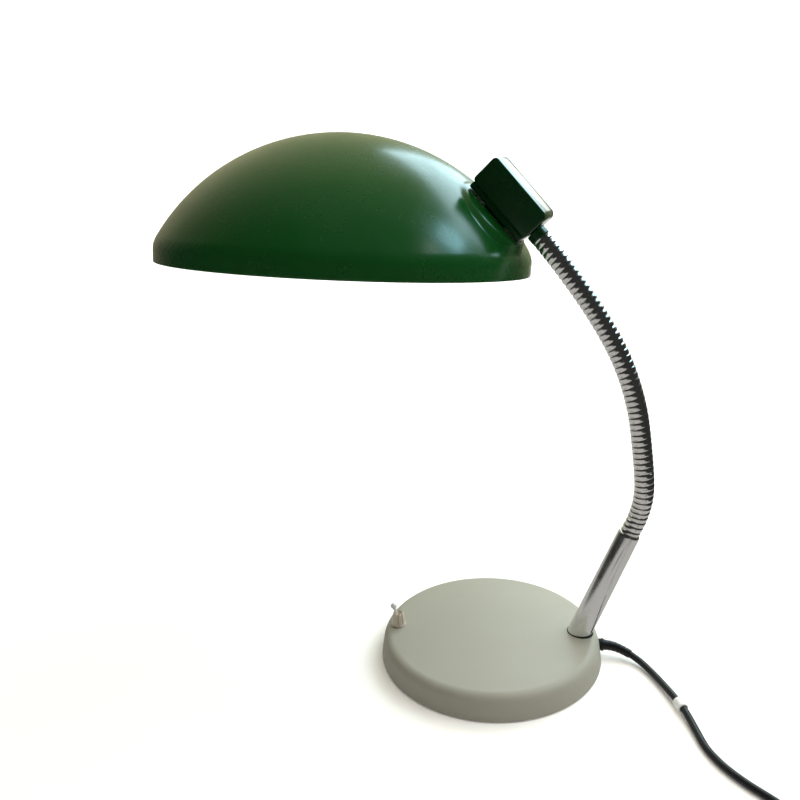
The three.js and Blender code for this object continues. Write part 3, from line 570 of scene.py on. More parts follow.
COIL_TOP = CORD_Z + 2 * CORD_R * (COIL_LEVELS - 1) + CORD_R
TAIL_Y = COIL_Y - COIL_R - CORD_R
PLUG_Z = 9 * MM
TAIL = [
    (COIL_X - 24 * MM, TAIL_Y, COIL_TOP - CORD_R - 1.5 * MM),
    (COIL_X - 36 * MM, TAIL_Y + 1.5 * MM, COIL_TOP - CORD_R - 6 * MM),
    (COIL_X - 48 * MM, TAIL_Y + 4 * MM, 6 * MM),
    (COIL_X - 61 * MM, TAIL_Y + 7 * MM, 4.6 * MM),
    (COIL_X - 75 * MM, TAIL_Y + 10 * MM, 6.6 * MM),
    (COIL_X - 90 * MM, TAIL_Y + 13 * MM, PLUG_Z - 0.2 * MM),
    (COIL_X - 104 * MM, TAIL_Y + 15.8 * MM, PLUG_Z),
]
RUN = [Vector(p) * MM + Vector((BASE_R, 0, 0)) for p in CORD_RUN]


def build_cord():
    run = spline(RUN + coil_points()[:1], 8)[:-1]
    tail = spline([coil_points()[-1]] + [Vector(p) for p in TAIL], 8)[1:]
    path = run + coil_points() + tail
    route = Route(path)
    stations = [(s, CORD_R) for s in route.at]
    obj = add_piece(
        "mains_cord", tube("mains_cord", route, stations, 12), [RUBBER], "base",
        ("cord_run", "cord_coil", "cord_tail"),
    )
    return obj, path, route


CORD, CORD_PATH, CORD_ROUTE = build_cord()


def build_relief():
    """A tapered sleeve with grooves, moulded round the cord at the base."""
    start = 4.3 * MM
    stations = [(start, 5.3), (start + 1.0 * MM, 5.3), (start + 1.1 * MM, 4.2), (start + 5.9 * MM, 4.2),
                (start + 6.0 * MM, 4.4), (start + 6.3 * MM, 4.7), (start + 7.0 * MM, 4.6)]
    length = 19.0
    rings = 6
    for k in range(rings * 6 + 1):
        along = k / (rings * 6)
        groove = 0.22 if k % 6 in (4, 5) and k < rings * 6 - 2 else 0.0
        stations.append((start + (8 + length * along) * MM, 3.75 - 0.75 * along - groove))
    stations = [(s, r * MM) for s, r in stations]
    mesh = tube("strain_relief", CORD_ROUTE, stations, 24, CORD_R + 0.1 * MM)
    return add_piece("strain_relief", mesh, [RUBBER], "base", ("cord_relief",))


def nearest(route, point):
    best = min(range(len(route.points)), key=lambda i: (route.points[i] - point).length)
    return route.at[best]


def build_clip():
    """A white band pinched round the cord."""
    middle = nearest(CORD_ROUTE, Vector((125, -56.2, 3.9)) * MM)
    half = 4.0 * MM
    outer = 3.6 * MM
    stations = [(middle - half, outer - 0.5 * MM), (middle - half + 0.25 * MM, outer - 0.12 * MM),
                (middle - half + 0.8 * MM, outer), (middle - 0.4 * MM, outer), (middle, outer - 0.18 * MM),
                (middle + 0.4 * MM, outer), (middle + half - 0.8 * MM, outer),
                (middle + half - 0.25 * MM, outer - 0.12 * MM), (middle + half, outer - 0.5 * MM)]
    mesh = tube("cord_band", CORD_ROUTE, stations, 32, CORD_R + 0.1 * MM)
    return add_piece("cord_band", mesh, [WHITE], "base", ("cord_clip",))


RELIEF = build_relief()
CLIP = build_clip()

# ---------------------------------------------------------------- coil tie and plug


def strip_loop(path, thick, half_width, side):
    """Rings of a flat strip along a closed path: path in a plane, side is square to it."""
    verts = []
    faces = []
    count = len(path)
    for k, p in enumerate(path):
        tangent = (path[(k + 1) % count] - path[k - 1]).normalized()
        out = tangent.cross(side)
        for u, v in ((0, -1), (0.25, -1), (0.75, -1), (1, -1), (1, 1), (0.75, 1), (0.25, 1), (0, 1)):
            verts.append(p + out * (thick * u) + side * (half_width * v))
    for k in range(count):
        n = (k + 1) % count
        for j in range(8):
            m = (j + 1) % 8
            faces.append((k * 8 + j, k * 8 + m, n * 8 + m, n * 8 + j))
    return verts, faces


def build_tie():
    """A soft white strap round the coil's two columns, its corners rounded."""
    half = 2 * CORD_R + 0.5 * MM
    low = 0.9 * MM
    high = COIL_TOP + 0.4 * MM
    corner = 2.2 * MM
    loop = []
    for cx, cz, start in (
        (half - corner, low + corner, -90), (half - corner, high - corner, 0),
        (-half + corner, high - corner, 90), (-half + corner, low + corner, 180),
    ):
        loop += arc(cx, cz, corner, start, start + 90, 6)
    turn = Matrix.Rotation(2.2, 3, "Z")
    middle = Vector((COIL_X, COIL_Y, 0))
    path = [middle + turn @ Vector((COIL_R + x, 0, z)) for x, z in loop]
    verts, faces = strip_loop(path, 0.75 * MM, 2.5 * MM, turn @ Vector((0, 1, 0)))
    mesh = mesh_from("cord_tie", verts, faces)
    return add_piece("cord_tie", mesh, [WHITE], "base", ("coil_tie",))


def plug_frame():
    end = CORD_ROUTE.point(CORD_ROUTE.length)
    return frame_matrix(end, Vector((0, 0, 1)), CORD_ROUTE.tangent(CORD_ROUTE.length, 0.002))


def build_plug():
    """A flat two-pin plug: waisted body with finger grooves, and two round pins."""
    frame_at = plug_frame()
    rows = [(0.3, 3.2), (0.6, 3.7), (4, 4.0), (8.5, 4.7), (11.5, 6.6), (14.5, 8.2), (17, 8.8)]
    for k in range(5):
        z = 18.5 + 2.6 * k
        rows += [(z, 8.9), (z + 0.5, 8.35), (z + 1.0, 8.35), (z + 1.5, 8.9)]
    rows += [(32.5, 8.8), (34.6, 8.4), (35.6, 7.6), (36, 6.4)]
    profile = [(0, 0.3 * MM)] + [(r * MM, z * MM) for z, r in rows] + [(0, 36 * MM)]
    shape = Matrix.Diagonal((0.95, 1.35, 1, 1))
    mesh = turned("plug_shell", profile, 48, frame_at @ shape)
    pieces = [add_piece("plug_shell", mesh, [BLACK], "base", ("plug_body",))]
    for k, side in enumerate((-1, 1)):
        pin = [(0, 36.2), (2, 36.2), (2, 53.0)] + [
            (2 * math.cos(a), 53.0 + 2 * math.sin(a)) for a in (0.4, 0.8, 1.2)
        ] + [(0, 55)]
        at = frame_at @ Matrix.Translation((0, side * 9.2 * MM, 0))
        name = f"plug_prong_{k + 1}"
        mesh = turned(name, [(r * MM, z * MM) for r, z in pin], 24, at)
        pieces.append(add_piece(name, mesh, [BRASS], "base", (f"plug_pin_{k + 1}",)))
    return pieces


[RELIEF, CLIP, build_tie()] + build_plug()

# ---------------------------------------------------------------- base


def cut_with(obj, name, tool_mesh):
    """Cuts a closed tool out of a piece, for good."""
    tool = bpy.data.objects.new(name, tool_mesh)
    bpy.context.scene.collection.objects.link(tool)
    modifier = obj.modifiers.new(name, "BOOLEAN")
    modifier.operation = "DIFFERENCE"
    modifier.solver = "EXACT"
    modifier.object = tool
    bpy.context.view_layer.update()
    ready = obj.evaluated_get(bpy.context.evaluated_depsgraph_get())
    mesh = bpy.data.meshes.new_from_object(ready)
    obj.modifiers.remove(modifier)
    obj.data = mesh
    bpy.data.objects.remove(tool)


def drill(name, radius, place, direction, length, sides=32):
    turn = Vector((0, 0, 1)).rotation_difference(direction).to_matrix().to_4x4()
    at = Matrix.Translation(place) @ turn
    return turned(name, [(0, 0), (radius, 0), (radius, length), (0, length)], sides, at)


def build_cover():
    """The painted cover: crowned top, soft shoulder, a side that draws in towards the top."""
    centre_r = BASE_R - 1.5 * MM - SHOULDER_R
    centre_z = BASE_EDGE_H - SHOULDER_R

    def skin(inset):
        points = [(BASE_R - inset, 1.4 * MM)]
        points += arc(centre_r, centre_z, SHOULDER_R - inset, 6, 86, 12)
        for k in range(12):
            r = centre_r * (1 - k / 12)
            points.append((r, cover_z(r) - inset))
        points.append((0, cover_z(0) - inset))
        return points

    edge = [(BASE_R - SHELL_T, 1.1 * MM), (BASE_R - 0.4 * MM, 1.0 * MM), (BASE_R - 0.1 * MM, 1.1 * MM)]
    profile = skin(SHELL_T)[::-1] + edge + skin(0)
    mesh = turned("base_cover", profile, 128)
    obj = add_piece("base_cover", mesh, [GREIGE], "base", ("base_shell",))
    up = Vector((0, 0, 1))
    sideways = Vector((1, 0, 0))
    exit_start = (BASE_R - 8 * MM, 0, EXIT_Z)
    cut_with(obj, "exit_hole", drill("exit_hole", 4.6 * MM, exit_start, sideways, 14 * MM))
    cut_with(obj, "stem_hole", drill("stem_hole", 5.1 * MM, (STEM_X, 0, 8 * MM), up, 24 * MM))
    cut_with(obj, "switch_hole", drill("switch_hole", 3.6 * MM, (SWITCH_X, 0, 8 * MM), up, 24 * MM))
    soften(obj)


def soften(obj, angle=35):
    """Smooth shading, but for edges sharper than the angle."""
    limit = math.radians(angle)
    bm = bmesh.new()
    bm.from_mesh(obj.data)
    for edge in bm.edges:
        edge.smooth = len(edge.link_faces) == 2 and edge.calc_face_angle(0) < limit
    for face in bm.faces:
        face.smooth = True
    bm.to_mesh(obj.data)
    bm.free()


def build_gasket():
    """A thin black ring between the leaning stem and the cover."""
    sides = 64
    verts = []
    faces = []
    a = (STEM_R_FOOT + 0.55 * MM) / math.cos(STEM_LEAN)
    b = STEM_R_FOOT + 0.55 * MM
    foot = STEM_FOOT.z - 0.03 * MM
    rings = ((1.0, -1), (1.0, 0.35), (0.97, 0.85), (0.93, 1.0), (0.62, 1.0), (0.62, -1))
    for share, level in rings:
        for k in range(sides):
            t = 2 * math.pi * k / sides
            x = STEM_X + a * share * math.cos(t)
            y = b * share * math.sin(t)
            skin_z = cover_z(math.hypot(x, y)) + 0.03 * MM
            z = skin_z if level < 0 else skin_z + (foot - skin_z) * level
            verts.append((x, y, z))
    count = len(rings)
    for i in range(count):
        j = (i + 1) % count
        for k in range(sides):
            n = (k + 1) % sides
            faces.append((i * sides + k, i * sides + n, j * sides + n, j * sides + k))
    mesh = mesh_from("stem_seal", verts, faces)
    obj = add_piece("stem_seal", mesh, [RUBBER], "base", ("stem_gasket",))
    soften(obj, 50)


def build_stem():
    """The plain plated tube, cut level at its foot and rolled in at its top."""
    sides = 96
    bore = NECK_R - 0.95 * MM
    rows = [(STEM_R_FOOT, 0.0), (STEM_R_FOOT, 6 * MM), (STEM_R_TOP, STEM_L - 2.2 * MM)]
    rows += [(STEM_R_TOP - 0.9 * MM * (1 - math.cos(a)), STEM_L - 2.2 * MM + 2.2 * MM * math.sin(a))
             for a in (0.3, 0.6, 0.9, 1.2, math.pi / 2)]
    rows += [(bore + 0.15 * MM, STEM_L), (bore, STEM_L - 0.4 * MM)]
    rows += [(bore, STEM_L - 30 * MM), (bore, 2.0 * MM)]
    at = frame_matrix(STEM_FOOT, Vector((1, 0, 0)), STEM_DIR)
    verts = []
    faces = []
    for i, (r, z) in enumerate(rows):
        for k in range(sides):
            t = 2 * math.pi * k / sides
            p = at @ Vector((r * math.cos(t), r * math.sin(t), z))
            if i == 0 or i == len(rows) - 1:
                p = p + STEM_DIR * ((STEM_FOOT.z - p.z) / STEM_DIR.z)
            verts.append(p)
    count = len(rows)
    for i in range(count):
        j = (i + 1) % count
        for k in range(sides):
            n = (k + 1) % sides
            faces.append((i * sides + k, i * sides + n, j * sides + n, j * sides + k))
    mesh = mesh_from("stem_pipe", verts, faces)
    obj = add_piece("stem_pipe", mesh, [STEM_CHROME], "base", ("stem_tube",))
    soften(obj, 40)
    low = EXIT_Z + CORD_R + 0.5 * MM
    profile = [(3.2 * MM, low), (4.4 * MM, low)]
    turns = 14
    high = STEM_FOOT.z + 0.4 * MM
    for k in range(turns * 2 + 1):
        profile.append(((4.8 if k % 2 else 4.4) * MM, low + (high - low) * (k + 0.5) / (turns * 2 + 1)))
    profile += [(4.4 * MM, high), (3.2 * MM, high), (3.2 * MM, low)]
    add_piece("stem_thread", turned("stem_thread", profile, 32, Matrix.Translation((STEM_X, 0, 0))),
              [ZINC], "base")


# ---------------------------------------------------------------- switch


def build_switch():
    """A moulded collar with eight flutes round its top, and the toggle's ball-ended lever."""
    bush_z = cover_z(-SWITCH_X) + 0.3 * MM
    sides = 96
    # height and radius, millimetres, up the outside and down the bore
    rows = [
        (0.0, 5.3), (0.4, 5.4), (1.0, 5.3), (1.6, 4.95), (3.0, 4.75), (5.0, 4.55), (7.0, 4.35),
        (8.8, 4.15), (9.6, 3.95), (10.0, 3.6), (9.9, 3.15), (5.2, 2.05), (0.0, 2.0),
    ]
    verts = []
    faces = []
    for i, (z, r) in enumerate(rows):
        for k in range(sides):
            t = 2 * math.pi * k / sides
            flute = max(0.0, math.cos(8 * t)) ** 3
            depth = 0.75 * flute if 3 <= i <= 9 else 0.0
            reach = (r - depth) * MM
            verts.append((SWITCH_X + reach * math.cos(t), reach * math.sin(t), bush_z + z * MM))
    count = len(rows)
    for i in range(count):
        j = (i + 1) % count
        for k in range(sides):
            n = (k + 1) % sides
            faces.append((i * sides + k, i * sides + n, j * sides + n, j * sides + k))
    mesh = mesh_from("switch_collar", verts, faces)
    obj = add_piece("switch_collar", mesh, [CREAM], "base", ("switch_bush",))
    soften(obj, 60)
    pivot = Vector(JOINTS["switch_toggle"]["pos_m"])
    tilt = Vector((-math.sin(LEVER_LEAN), 0, math.cos(LEVER_LEAN)))
    at = frame_matrix(pivot, Vector((1, 0, 0)), tilt)
    ball = 2.2 * MM
    profile = [
        (0, -1.55 * MM), (0.9 * MM, -1.3 * MM), (1.5 * MM, -0.4 * MM), (1.5 * MM, 0.4 * MM),
        (1.0 * MM, 1.4 * MM), (1.05 * MM, LEVER_L - 4.2 * MM), (1.25 * MM, LEVER_L - 2.3 * MM),
    ]
    profile += [(ball * math.cos(a), LEVER_L + ball * math.sin(a))
                for a in [math.radians(d) for d in range(-50, 90, 10)]]
    profile.append((0, LEVER_L + ball))
    mesh = turned("toggle_lever", profile, 40, at)
    lever = add_piece("toggle_lever", mesh, [LEVER_METAL], "lever", ("switch_lever",))
    soften(lever, 60)


# ---------------------------------------------------------------- neck

HINGES = [Vector(JOINTS[f"neck_bend_{k}"]["pos_m"]) for k in range(1, 7)]
NECK_END = HEAD @ Vector((NECK_OFFSET, 0, -BOX_L / 2 - FERRULE_L))


def neck_route():
    """The neck's middle line, through the joints, straight where it leaves the stem and meets the box."""
    points = [STEM_TOP - STEM_DIR * 12 * MM, STEM_TOP, STEM_TOP + STEM_DIR * 13 * MM]
    points += HINGES + [NECK_END - BOX_DIR * 5 * MM, NECK_END, NECK_END + BOX_DIR * 3 * MM]
    return Route(spline(points, 40))


def build_neck():
    """Wound strip: a flat bead on each turn and a narrow groove between, cut midway between joints."""
    route = neck_route()
    start = nearest(route, STEM_TOP)
    end = nearest(route, NECK_END)
    marks = [nearest(route, h) for h in HINGES]
    cuts = [start - 9 * MM] + [(a + b) / 2 for a, b in zip([start] + marks, marks)] + [
        (marks[-1] + end) / 2, end + 2.6 * MM,
    ]
    sides = 40
    pitch = (end - start) / round((end - start) / RIB_PITCH)

    def wall(s, t):
        if s < start:
            return NECK_R - 1.25 * MM
        if s > end - 0.05 * MM:
            return 4.9 * MM
        turn = ((s - start) / pitch - t / (2 * math.pi)) % 1.0
        x = abs(turn - 0.5) * pitch
        return NECK_R - RIB_DEPTH * (x / (pitch / 2)) ** 3.5

    def ring(s, radius_at):
        t_dir = route.tangent(s)
        u = ACROSS.cross(t_dir).normalized()
        v = t_dir.cross(u)
        centre = route.point(s)
        points = []
        for j in range(sides):
            t = 2 * math.pi * j / sides
            r = radius_at(t)
            points.append(centre + u * (r * math.cos(t)) + v * (r * math.sin(t)))
        return points

    for k in range(8):
        low = cuts[k] + 0.01 * MM
        high = cuts[k + 1] - 0.01 * MM
        steps = max(4, round((high - low) / (pitch / 10)))
        stations = [low + (high - low) * j / steps for j in range(steps + 1)]
        rings = [ring(s, lambda t, s=s: wall(s, t)) for s in stations]
        inner = [stations[-1]] + stations[-8:8:-8] + [stations[0]]
        rings += [ring(s, lambda t: 3.9 * MM) for s in inner]
        faces = []
        for i in range(len(rings)):
            i_next = (i + 1) % len(rings)
            for j in range(sides):
                n = (j + 1) % sides
                faces.append((i * sides + j, i * sides + n, i_next * sides + n, i_next * sides + j))
        name = f"neck_hose_{k}"
        mesh = mesh_from(name, [v for points in rings for v in points], faces)
        nodes = (f"neck_segment_{k + 1}",) if k < 7 else ()
        body = {0: "base", 7: "knuckle"}.get(k)
        obj = add_piece(name, mesh, [NECK_CHROME], body, nodes)
        soften(obj, 70)
        if body is None:
            reach = route.tangent(marks[k - 1]) * (marks[k - 1] - cuts[k]) * 0.9
            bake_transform(obj)


# ---------------------------------------------------------------- shade


def axis_steps(low, high, dense_low, dense_high, fine, coarse):
    """Values from low to high, closely spaced between the two dense limits."""
    values = [low]
    while values[-1] < high - 1e-6:
        at = values[-1]
        step = fine if dense_low <= at < dense_high else coarse
        if at < dense_low < at + step:
            step = dense_low - at
        values.append(min(high, at + step))
    return values


def build_dish():
    """A pressed dome with a straight band, a rolled lip, and a flat pressed where the box sits."""
    pivot = Vector((math.cos(PIVOT_ANGLE), 0, math.sin(PIVOT_ANGLE)))
    along = Vector((-math.sin(PIVOT_ANGLE), 0, math.cos(PIVOT_ANGLE)))
    flat_edge = SEAT_R - 0.8 * MM
    skirt = 6.0 * MM

    def outer(theta, phi):
        across = math.sin(theta)
        p = DOME_R * Vector((across * math.cos(phi), across * math.sin(phi), math.cos(theta)))
        u = p.dot(along) + SEAT_SHIFT
        rho = math.hypot(u, p.y)
        if p.dot(pivot) < 0 or rho > flat_edge + skirt:
            return p
        share = 1 - smoothstep((rho - flat_edge) / skirt)
        return p + pivot * ((SEAT_DIST - p.dot(pivot)) * share)

    # the dome turns into the band through a soft fillet, 18 mm in radius
    fillet = 18 * MM
    centre_r = RIM_R - fillet
    centre_z = math.sqrt((DOME_R - fillet) ** 2 - centre_r ** 2)
    edge_theta = math.atan2(centre_r, centre_z)
    middle = math.degrees(math.pi / 2 - PIVOT_ANGLE) + 3.0
    thetas = axis_steps(1.2, math.degrees(edge_theta), middle - 13.5, middle + 13.5, 0.45, 2.2)
    phis = axis_steps(-180, 180, -19, 19, 0.62, 2.25)[:-1]
    rim_in = RIM_R - SHADE_T
    leave = 90 - math.degrees(edge_theta)
    band = arc(centre_r, centre_z, fillet, leave, 0, 7)[1:]
    band += [(RIM_R, RIM_Z + BAND_H * 0.35), (RIM_R, RIM_Z + 2.2 * MM)]
    lip = [
        (RIM_R, RIM_Z + 0.7 * MM), (RIM_R - 0.15 * MM, RIM_Z + 0.2 * MM), (RIM_R - 0.45 * MM, RIM_Z),
        (rim_in - 0.6 * MM, RIM_Z), (rim_in - 1.0 * MM, RIM_Z + 0.3 * MM),
        (rim_in - 1.1 * MM, RIM_Z + 0.8 * MM), (rim_in - 0.8 * MM, RIM_Z + 1.3 * MM),
        (rim_in, RIM_Z + 1.9 * MM), (rim_in, RIM_Z + BAND_H * 0.35),
    ]
    lip += arc(centre_r, centre_z, fillet - SHADE_T, 0, leave, 6)
    count = len(phis)
    verts = [Vector((0, 0, DOME_R))]
    rows = []

    def add_row(points):
        rows.append(len(verts))
        verts.extend(points)

    def circle(r, z):
        turns = [math.radians(phi) for phi in phis]
        return [Vector((r * math.cos(a), r * math.sin(a), z)) for a in turns]

    for theta in thetas:
        add_row([outer(math.radians(theta), math.radians(phi)) for phi in phis])
    for r, z in band + lip:
        add_row(circle(r, z))
    inside_r = DOME_R - SHADE_T
    for k in range(1, 26):
        theta = edge_theta * (1 - k / 26)
        add_row(circle(inside_r * math.sin(theta), inside_r * math.cos(theta)))
    verts.append(Vector((0, 0, inside_r)))
    faces = []
    for k in range(count):
        n = (k + 1) % count
        faces.append((0, rows[0] + k, rows[0] + n))
        faces.append((len(verts) - 1, rows[-1] + n, rows[-1] + k))
    for a, b in zip(rows, rows[1:]):
        for k in range(count):
            n = (k + 1) % count
            faces.append((a + k, b + k, b + n, a + n))
    mesh = mesh_from("shade_dish", [SHADE @ v for v in verts], faces)
    obj = add_piece("shade_dish", mesh, [GREEN, WHITE_ENAMEL], "shade", ("shade",))
    under = HEAD @ Vector((-12 * MM, 0, 0))
    cut_with(obj, "pivot_hole", drill("pivot_hole", PIVOT_HOLE_R, under, PIVOT, 20 * MM))
    to_shade = SHADE.inverted()
    turn = to_shade.to_3x3()
    for polygon in obj.data.polygons:
        p = to_shade @ polygon.center
        inward = (turn @ polygon.normal).dot(Vector((p.x, p.y, max(0.0, p.z - centre_z)))) < 0
        inside = inward and p.z > RIM_Z + 1.2 * MM and p.length < DOME_R - 0.3 * MM
        polygon.material_index = 1 if inside else 0
    soften(obj, 50)


# ---------------------------------------------------------------- pivot box


def round_outline(x0, x1, z0, z1, radii, steps=7):
    """A rectangle in X-Z with its own radius at each corner, from (x0, z0) round to (x0, z1)."""
    corners = ((x0, z0, 180), (x1, z0, 270), (x1, z1, 0), (x0, z1, 90))
    points = []
    for (x, z, start), r in zip(corners, radii):
        cx = x + r if x == x0 else x - r
        cz = z + r if z == z0 else z - r
        points += arc(cx, cz, r, start, start + 90, steps)
    return points


def build_box():
    """The cast box over the pivot: hollow, with a lid on its far side and a foot near the shade."""
    radii = [3 * MM, 4.5 * MM, 3 * MM, 3 * MM]
    x0 = BOX_GAP
    x1 = BOX_GAP + BOX_T
    half_l = BOX_L / 2
    half_w = BOX_W / 2
    outline = round_outline(x0, x1, -half_l, half_l, radii)
    wall = 1.6 * MM
    housing = rounded_box("box_housing", outline, -half_w, half_w - 1.9 * MM, 0.9 * MM, 4, HEAD)
    obj = add_piece("box_housing", housing, [SHADED_BOX_GREEN], "knuckle", ("knuckle_housing",))
    hollow = round_outline(x0 + wall, x1 - wall, -half_l + wall, half_l - wall, [1.6 * MM] * 4, 4)
    inside = rounded_box("hollow", hollow, -half_w + wall, half_w + 3 * MM, 0.3 * MM, 2, HEAD)
    cut_with(obj, "hollow", inside)
    near = HEAD @ Vector((x0 - 2 * MM, 0, 0))
    cut_with(obj, "pivot_way", drill("pivot_way", PIVOT_HOLE_R, near, PIVOT, 5 * MM))
    low = HEAD @ Vector((NECK_OFFSET, 0, -half_l - 2 * MM))
    cut_with(obj, "neck_way", drill("neck_way", 3.5 * MM, low, BOX_DIR, 5 * MM))
    soften(obj, 40)
    lid = rounded_box("box_lid", outline, half_w - 1.6 * MM, half_w, 0.55 * MM, 3, HEAD)
    obj = add_piece("box_lid", lid, [SHADED_BOX_GREEN], "knuckle", ("knuckle_cover",))
    for x, z in ((x1 - 6.4 * MM, half_l - 6.4 * MM), (x1 - 6.4 * MM, 12 * MM - half_l)):
        place = HEAD @ Vector((x, half_w - 3 * MM, z))
        cut_with(obj, "screw_way", drill("screw_way", 1.75 * MM, place, ACROSS, 5 * MM, 24))
    soften(obj, 40)
    foot = round_outline(1.0 * MM, x0, 1.2 * MM - half_l, half_l - 1.2 * MM, [1.2 * MM] * 4, 4)
    mesh = rounded_box("box_foot", foot, 1.2 * MM - half_w, half_w - 1.2 * MM, 1.0 * MM, 4, HEAD)
    # the foot takes the box's darker green, painted shade for the gap between the box and the dish
    obj = add_piece("box_foot", mesh, [SHADED_BOX_GREEN], "knuckle")
    below = HEAD @ Vector((-1 * MM, 0, 0))
    cut_with(obj, "foot_way", drill("foot_way", PIVOT_HOLE_R, below, PIVOT, 8 * MM))
    soften(obj, 40)


# ---------------------------------------------------------------- lampholder and bulb

HOLDER_L = 46 * MM
# radius and distance from the holder's mouth, millimetres
BULB_LINE = [
    (13, -2.2), (13.4, 0.4), (14.2, 4), (15.8, 9), (18, 14), (21.6, 20.5), (25, 27), (27.6, 33), (29, 39),
    (29.7, 43.5), (29.8, 48), (29.3, 53), (28.2, 58), (25.8, 63.8), (22.5, 68.5), (18, 72.6),
    (12.5, 75.6), (6.4, 77.4), (0, 78),
]


def holder_frame():
    """The lampholder hangs from the bent bracket and points down under the dish."""
    bracket_top = -4.33 * MM
    bend_a = SEAT_DIST + bracket_top
    bend_b = 15.5 * MM - SEAT_SHIFT
    cos_p = math.cos(PIVOT_ANGLE)
    sin_p = math.sin(PIVOT_ANGLE)
    x = bend_a * cos_p - bend_b * sin_p - 0.6 * MM - 1.5 * MM - 27 * MM * math.tan(math.radians(5))
    z = bend_a * sin_p + bend_b * cos_p - 27 * MM
    tilt = math.radians(5)
    down = Vector((-math.cos(tilt), 0, math.sin(tilt)))
    return SHADE @ frame_matrix(Vector((x, 0, z)), Vector((0, 0, 1)), down)


def build_bulb():
    at = holder_frame()
    shell = [(0, 0.3), (8, 0.3), (14.8, 2.0), (16.2, 3.0), (17.6, 5.4), (18, 7.0)]
    for k in range(6):
        z = 8 + 2.2 * k
        shell += [(18.0, z), (18.3, z + 0.5), (18.3, z + 1.2), (18.0, z + 1.7)]
    shell += [(18.1, 22), (19, 23), (19, 24.6), (18.5, 25.2), (18.5, 26.4), (19, 27), (19, 44.4)]
    shell += [(18.7, 45.6), (18, 46), (15.6, 46), (15.2, 45.5), (15.2, 15), (0, 15)]
    mesh = turned("lamp_socket", [(r * MM, z * MM) for r, z in shell], 64, at)
    soften(add_piece("lamp_socket", mesh, [BLACK], "shade", ("lampholder",)), 35)
    top = HOLDER_L
    outside = spline([Vector((r * MM, z * MM, 0)) for r, z in BULB_LINE], 3)
    inside = []
    for p in outside:
        drop = 1.0 * MM if p.x < 8 * MM else 0.2 * MM
        inside.append(Vector((max(0.0, p.x - 1.0 * MM), p.y - drop, 0)))
    line = [(p.x, p.y + top) for p in outside] + [(0, inside[-1].y + top)] + [
        (p.x, p.y + top) for p in inside[::-1] if p.x > 0.3 * MM
    ]
    first = line[0]
    mesh = turned("bulb_globe", line + [first], 64, at)
    soften(add_piece("bulb_globe", mesh, [GLASS], "shade", ("bulb_glass",)), 70)


build_cover()
build_gasket()
build_stem()
build_switch()
build_neck()
build_dish()
build_box()
build_bulb()

# ---------------------------------------------------------------- floor, backdrop and light


def floor_finish(name, glow):
    n = Nodes(name).set(Specular_IOR_Level=0.25)
    n.colour(n.mix(n.noise(3, 4, 0.5), (0.93, 0.905, 0.86), (0.95, 0.925, 0.88)))
    n.roughness(n.ramp(n.noise(20, 3, 0.5), 0.3, 0.7, 0.55, 0.65))
    n.bump((n.noise(60, 3, 0.5), 0.00005))
    n.set(Emission_Color=(1.0, 0.98, 0.94, 1.0), Emission_Strength=glow)
    return n.material


def stage_mesh(name, verts, faces, material):
    mesh = bpy.data.meshes.new(name)
    mesh.from_pydata(verts, [], faces)
    for polygon in mesh.polygons:
        polygon.use_smooth = True
    mesh.materials.append(material)
    obj = bpy.data.objects.new(name, mesh)
    bpy.context.scene.collection.objects.link(obj)
    return obj


def build_floor():
    """A pale round table top, and a wall all round it that curves up from the table."""
    sides = 96
    wall = [(1.2 + x, 0.9 + z) for x, z in arc(0, 0, 0.9, -90, 0, 16)]
    wall.append((2.1, 4.5))

    def rings(profile):
        verts = []
        faces = []
        for r, z in profile:
            for k in range(sides):
                a = 2 * math.pi * k / sides
                verts.append((r * math.cos(a), r * math.sin(a), z))
        for i in range(len(profile) - 1):
            for k in range(sides):
                n = (k + 1) % sides
                faces.append((i * sides + k, (i + 1) * sides + k, (i + 1) * sides + n, i * sides + n))
        return verts, faces

    verts, faces = rings([(0.02, 0), (0.4, 0), (0.8, 0), (1.2, 0)])
    faces.append(tuple(range(sides)))
    floor = stage_mesh("floor", verts, faces, floor_finish("floor", 0.14))
    floor.visible_glossy = False
    verts, faces = rings(wall)
    backdrop = stage_mesh("backdrop", verts, faces, floor_finish("backdrop", 0.42))
    backdrop.visible_glossy = False
    backdrop.visible_diffuse = False
    backdrop.visible_shadow = False
    # what polished parts see of the table: a smaller sheet, which ends close to the lamp on the right
    edge = [(-0.7, -0.9), (0.24, -0.9), (0.28, 0.2), (0.5, 2.0), (-0.7, 2.0)]
    corners = [(x, y, -0.0004) for x, y in edge]
    top = stage_mesh("table_reflection", corners, [tuple(range(5))], floor_finish("table", 0.3))
    top.visible_camera = False
    top.visible_diffuse = False
    top.visible_shadow = False


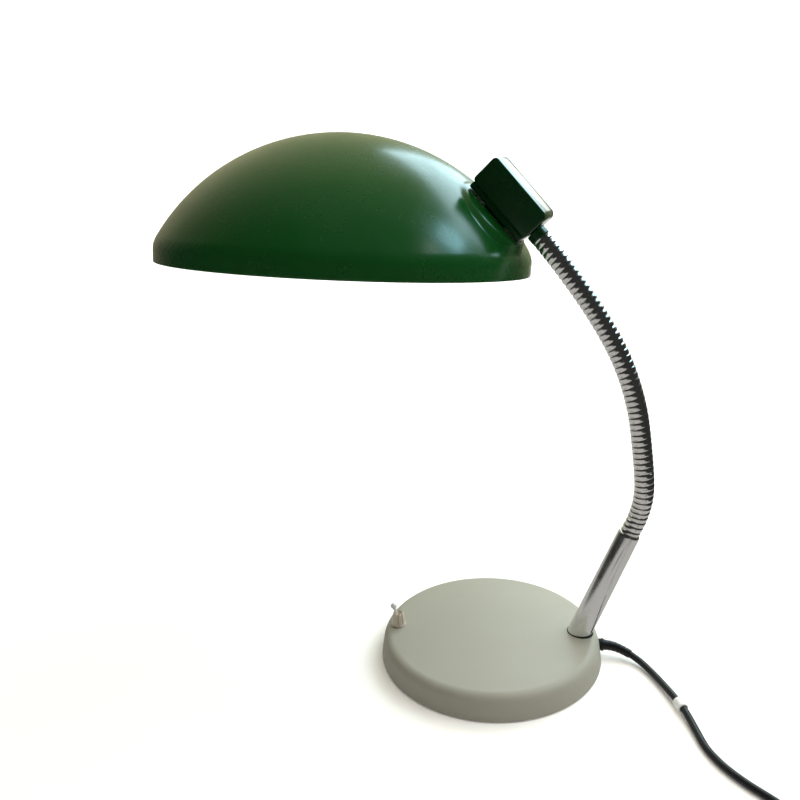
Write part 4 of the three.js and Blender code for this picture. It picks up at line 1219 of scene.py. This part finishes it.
def area_light(name, place, target, width, height, power, tint=(1, 1, 1), shown=True):
    data = bpy.data.lights.new(name, "AREA")
    data.shape = "RECTANGLE"
    data.size = width
    data.size_y = height
    data.energy = power
    data.color = tint
    obj = bpy.data.objects.new(name, data)
    bpy.context.scene.collection.objects.link(obj)
    obj.visible_camera = False
    obj.visible_glossy = shown
    away = (Vector(place) - Vector(target)).normalized()
    side = Vector((0, 0, 1)).cross(away)
    if side.length < 0.01:
        side = Vector((1, 0, 0))
    obj.matrix_world = frame_matrix(Vector(place), side.normalized(), away)


def window(name, bearing, rise, width, height, power, tint):
    """A bright pane seen from the dome: bearing from +Y towards +X and rise, in degrees."""
    middle = Vector((-0.06, 0.05, 0.3))
    a = math.radians(bearing)
    b = math.radians(rise)
    toward = Vector((math.sin(a) * math.cos(b), math.cos(a) * math.cos(b), math.sin(b)))
    area_light(name, middle + toward * 1.6, middle, width, height, power, tint)


def build_world():
    """A dim room: dark in front and overhead, warm and brighter behind the lamp."""
    world = bpy.data.worlds.new("world")
    bpy.context.scene.world = world
    world.use_nodes = True
    tree = world.node_tree
    background = tree.nodes["Background"]
    coord = tree.nodes.new("ShaderNodeTexCoord")
    lean = tree.nodes.new("ShaderNodeVectorMath")
    lean.operation = "DOT_PRODUCT"
    lean.inputs[1].default_value = (-0.1, 0.85, 0.5)
    ramp = tree.nodes.new("ShaderNodeValToRGB")
    tree.links.new(coord.outputs["Generated"], lean.inputs[0])
    tree.links.new(lean.outputs["Value"], ramp.inputs["Fac"])
    tree.links.new(ramp.outputs["Color"], background.inputs["Color"])
    ramp.color_ramp.elements[0].position = 0.3
    ramp.color_ramp.elements[0].color = (0.03, 0.03, 0.028, 1)
    ramp.color_ramp.elements[1].position = 0.92
    ramp.color_ramp.elements[1].color = (0.6, 0.55, 0.35, 1)
    step = ramp.color_ramp.elements.new(0.62)
    step.color = (0.2, 0.18, 0.13, 1)
    background.inputs["Strength"].default_value = 1.0


build_floor()
build_world()
window("window", 35, 32, 1.5, 0.84, 17.5, (0.60, 0.87, 1.0))
window("low_window", 21, 13, 0.34, 0.22, 1.0, (1.0, 1.0, 0.97))
window("side_pane", 78, 42, 0.28, 0.34, 3.4, (0.45, 0.84, 1.0))
window("small_pane", 98, 45, 0.17, 0.17, 0.36, (0.95, 1.0, 0.97))
area_light("overhead", (0.9, 0.5, 2.1), (0.3, 0.2, 0), 3.6, 3.6, 104, (1.0, 0.98, 0.945), False)
bpy.context.scene.view_settings.view_transform = "Standard"
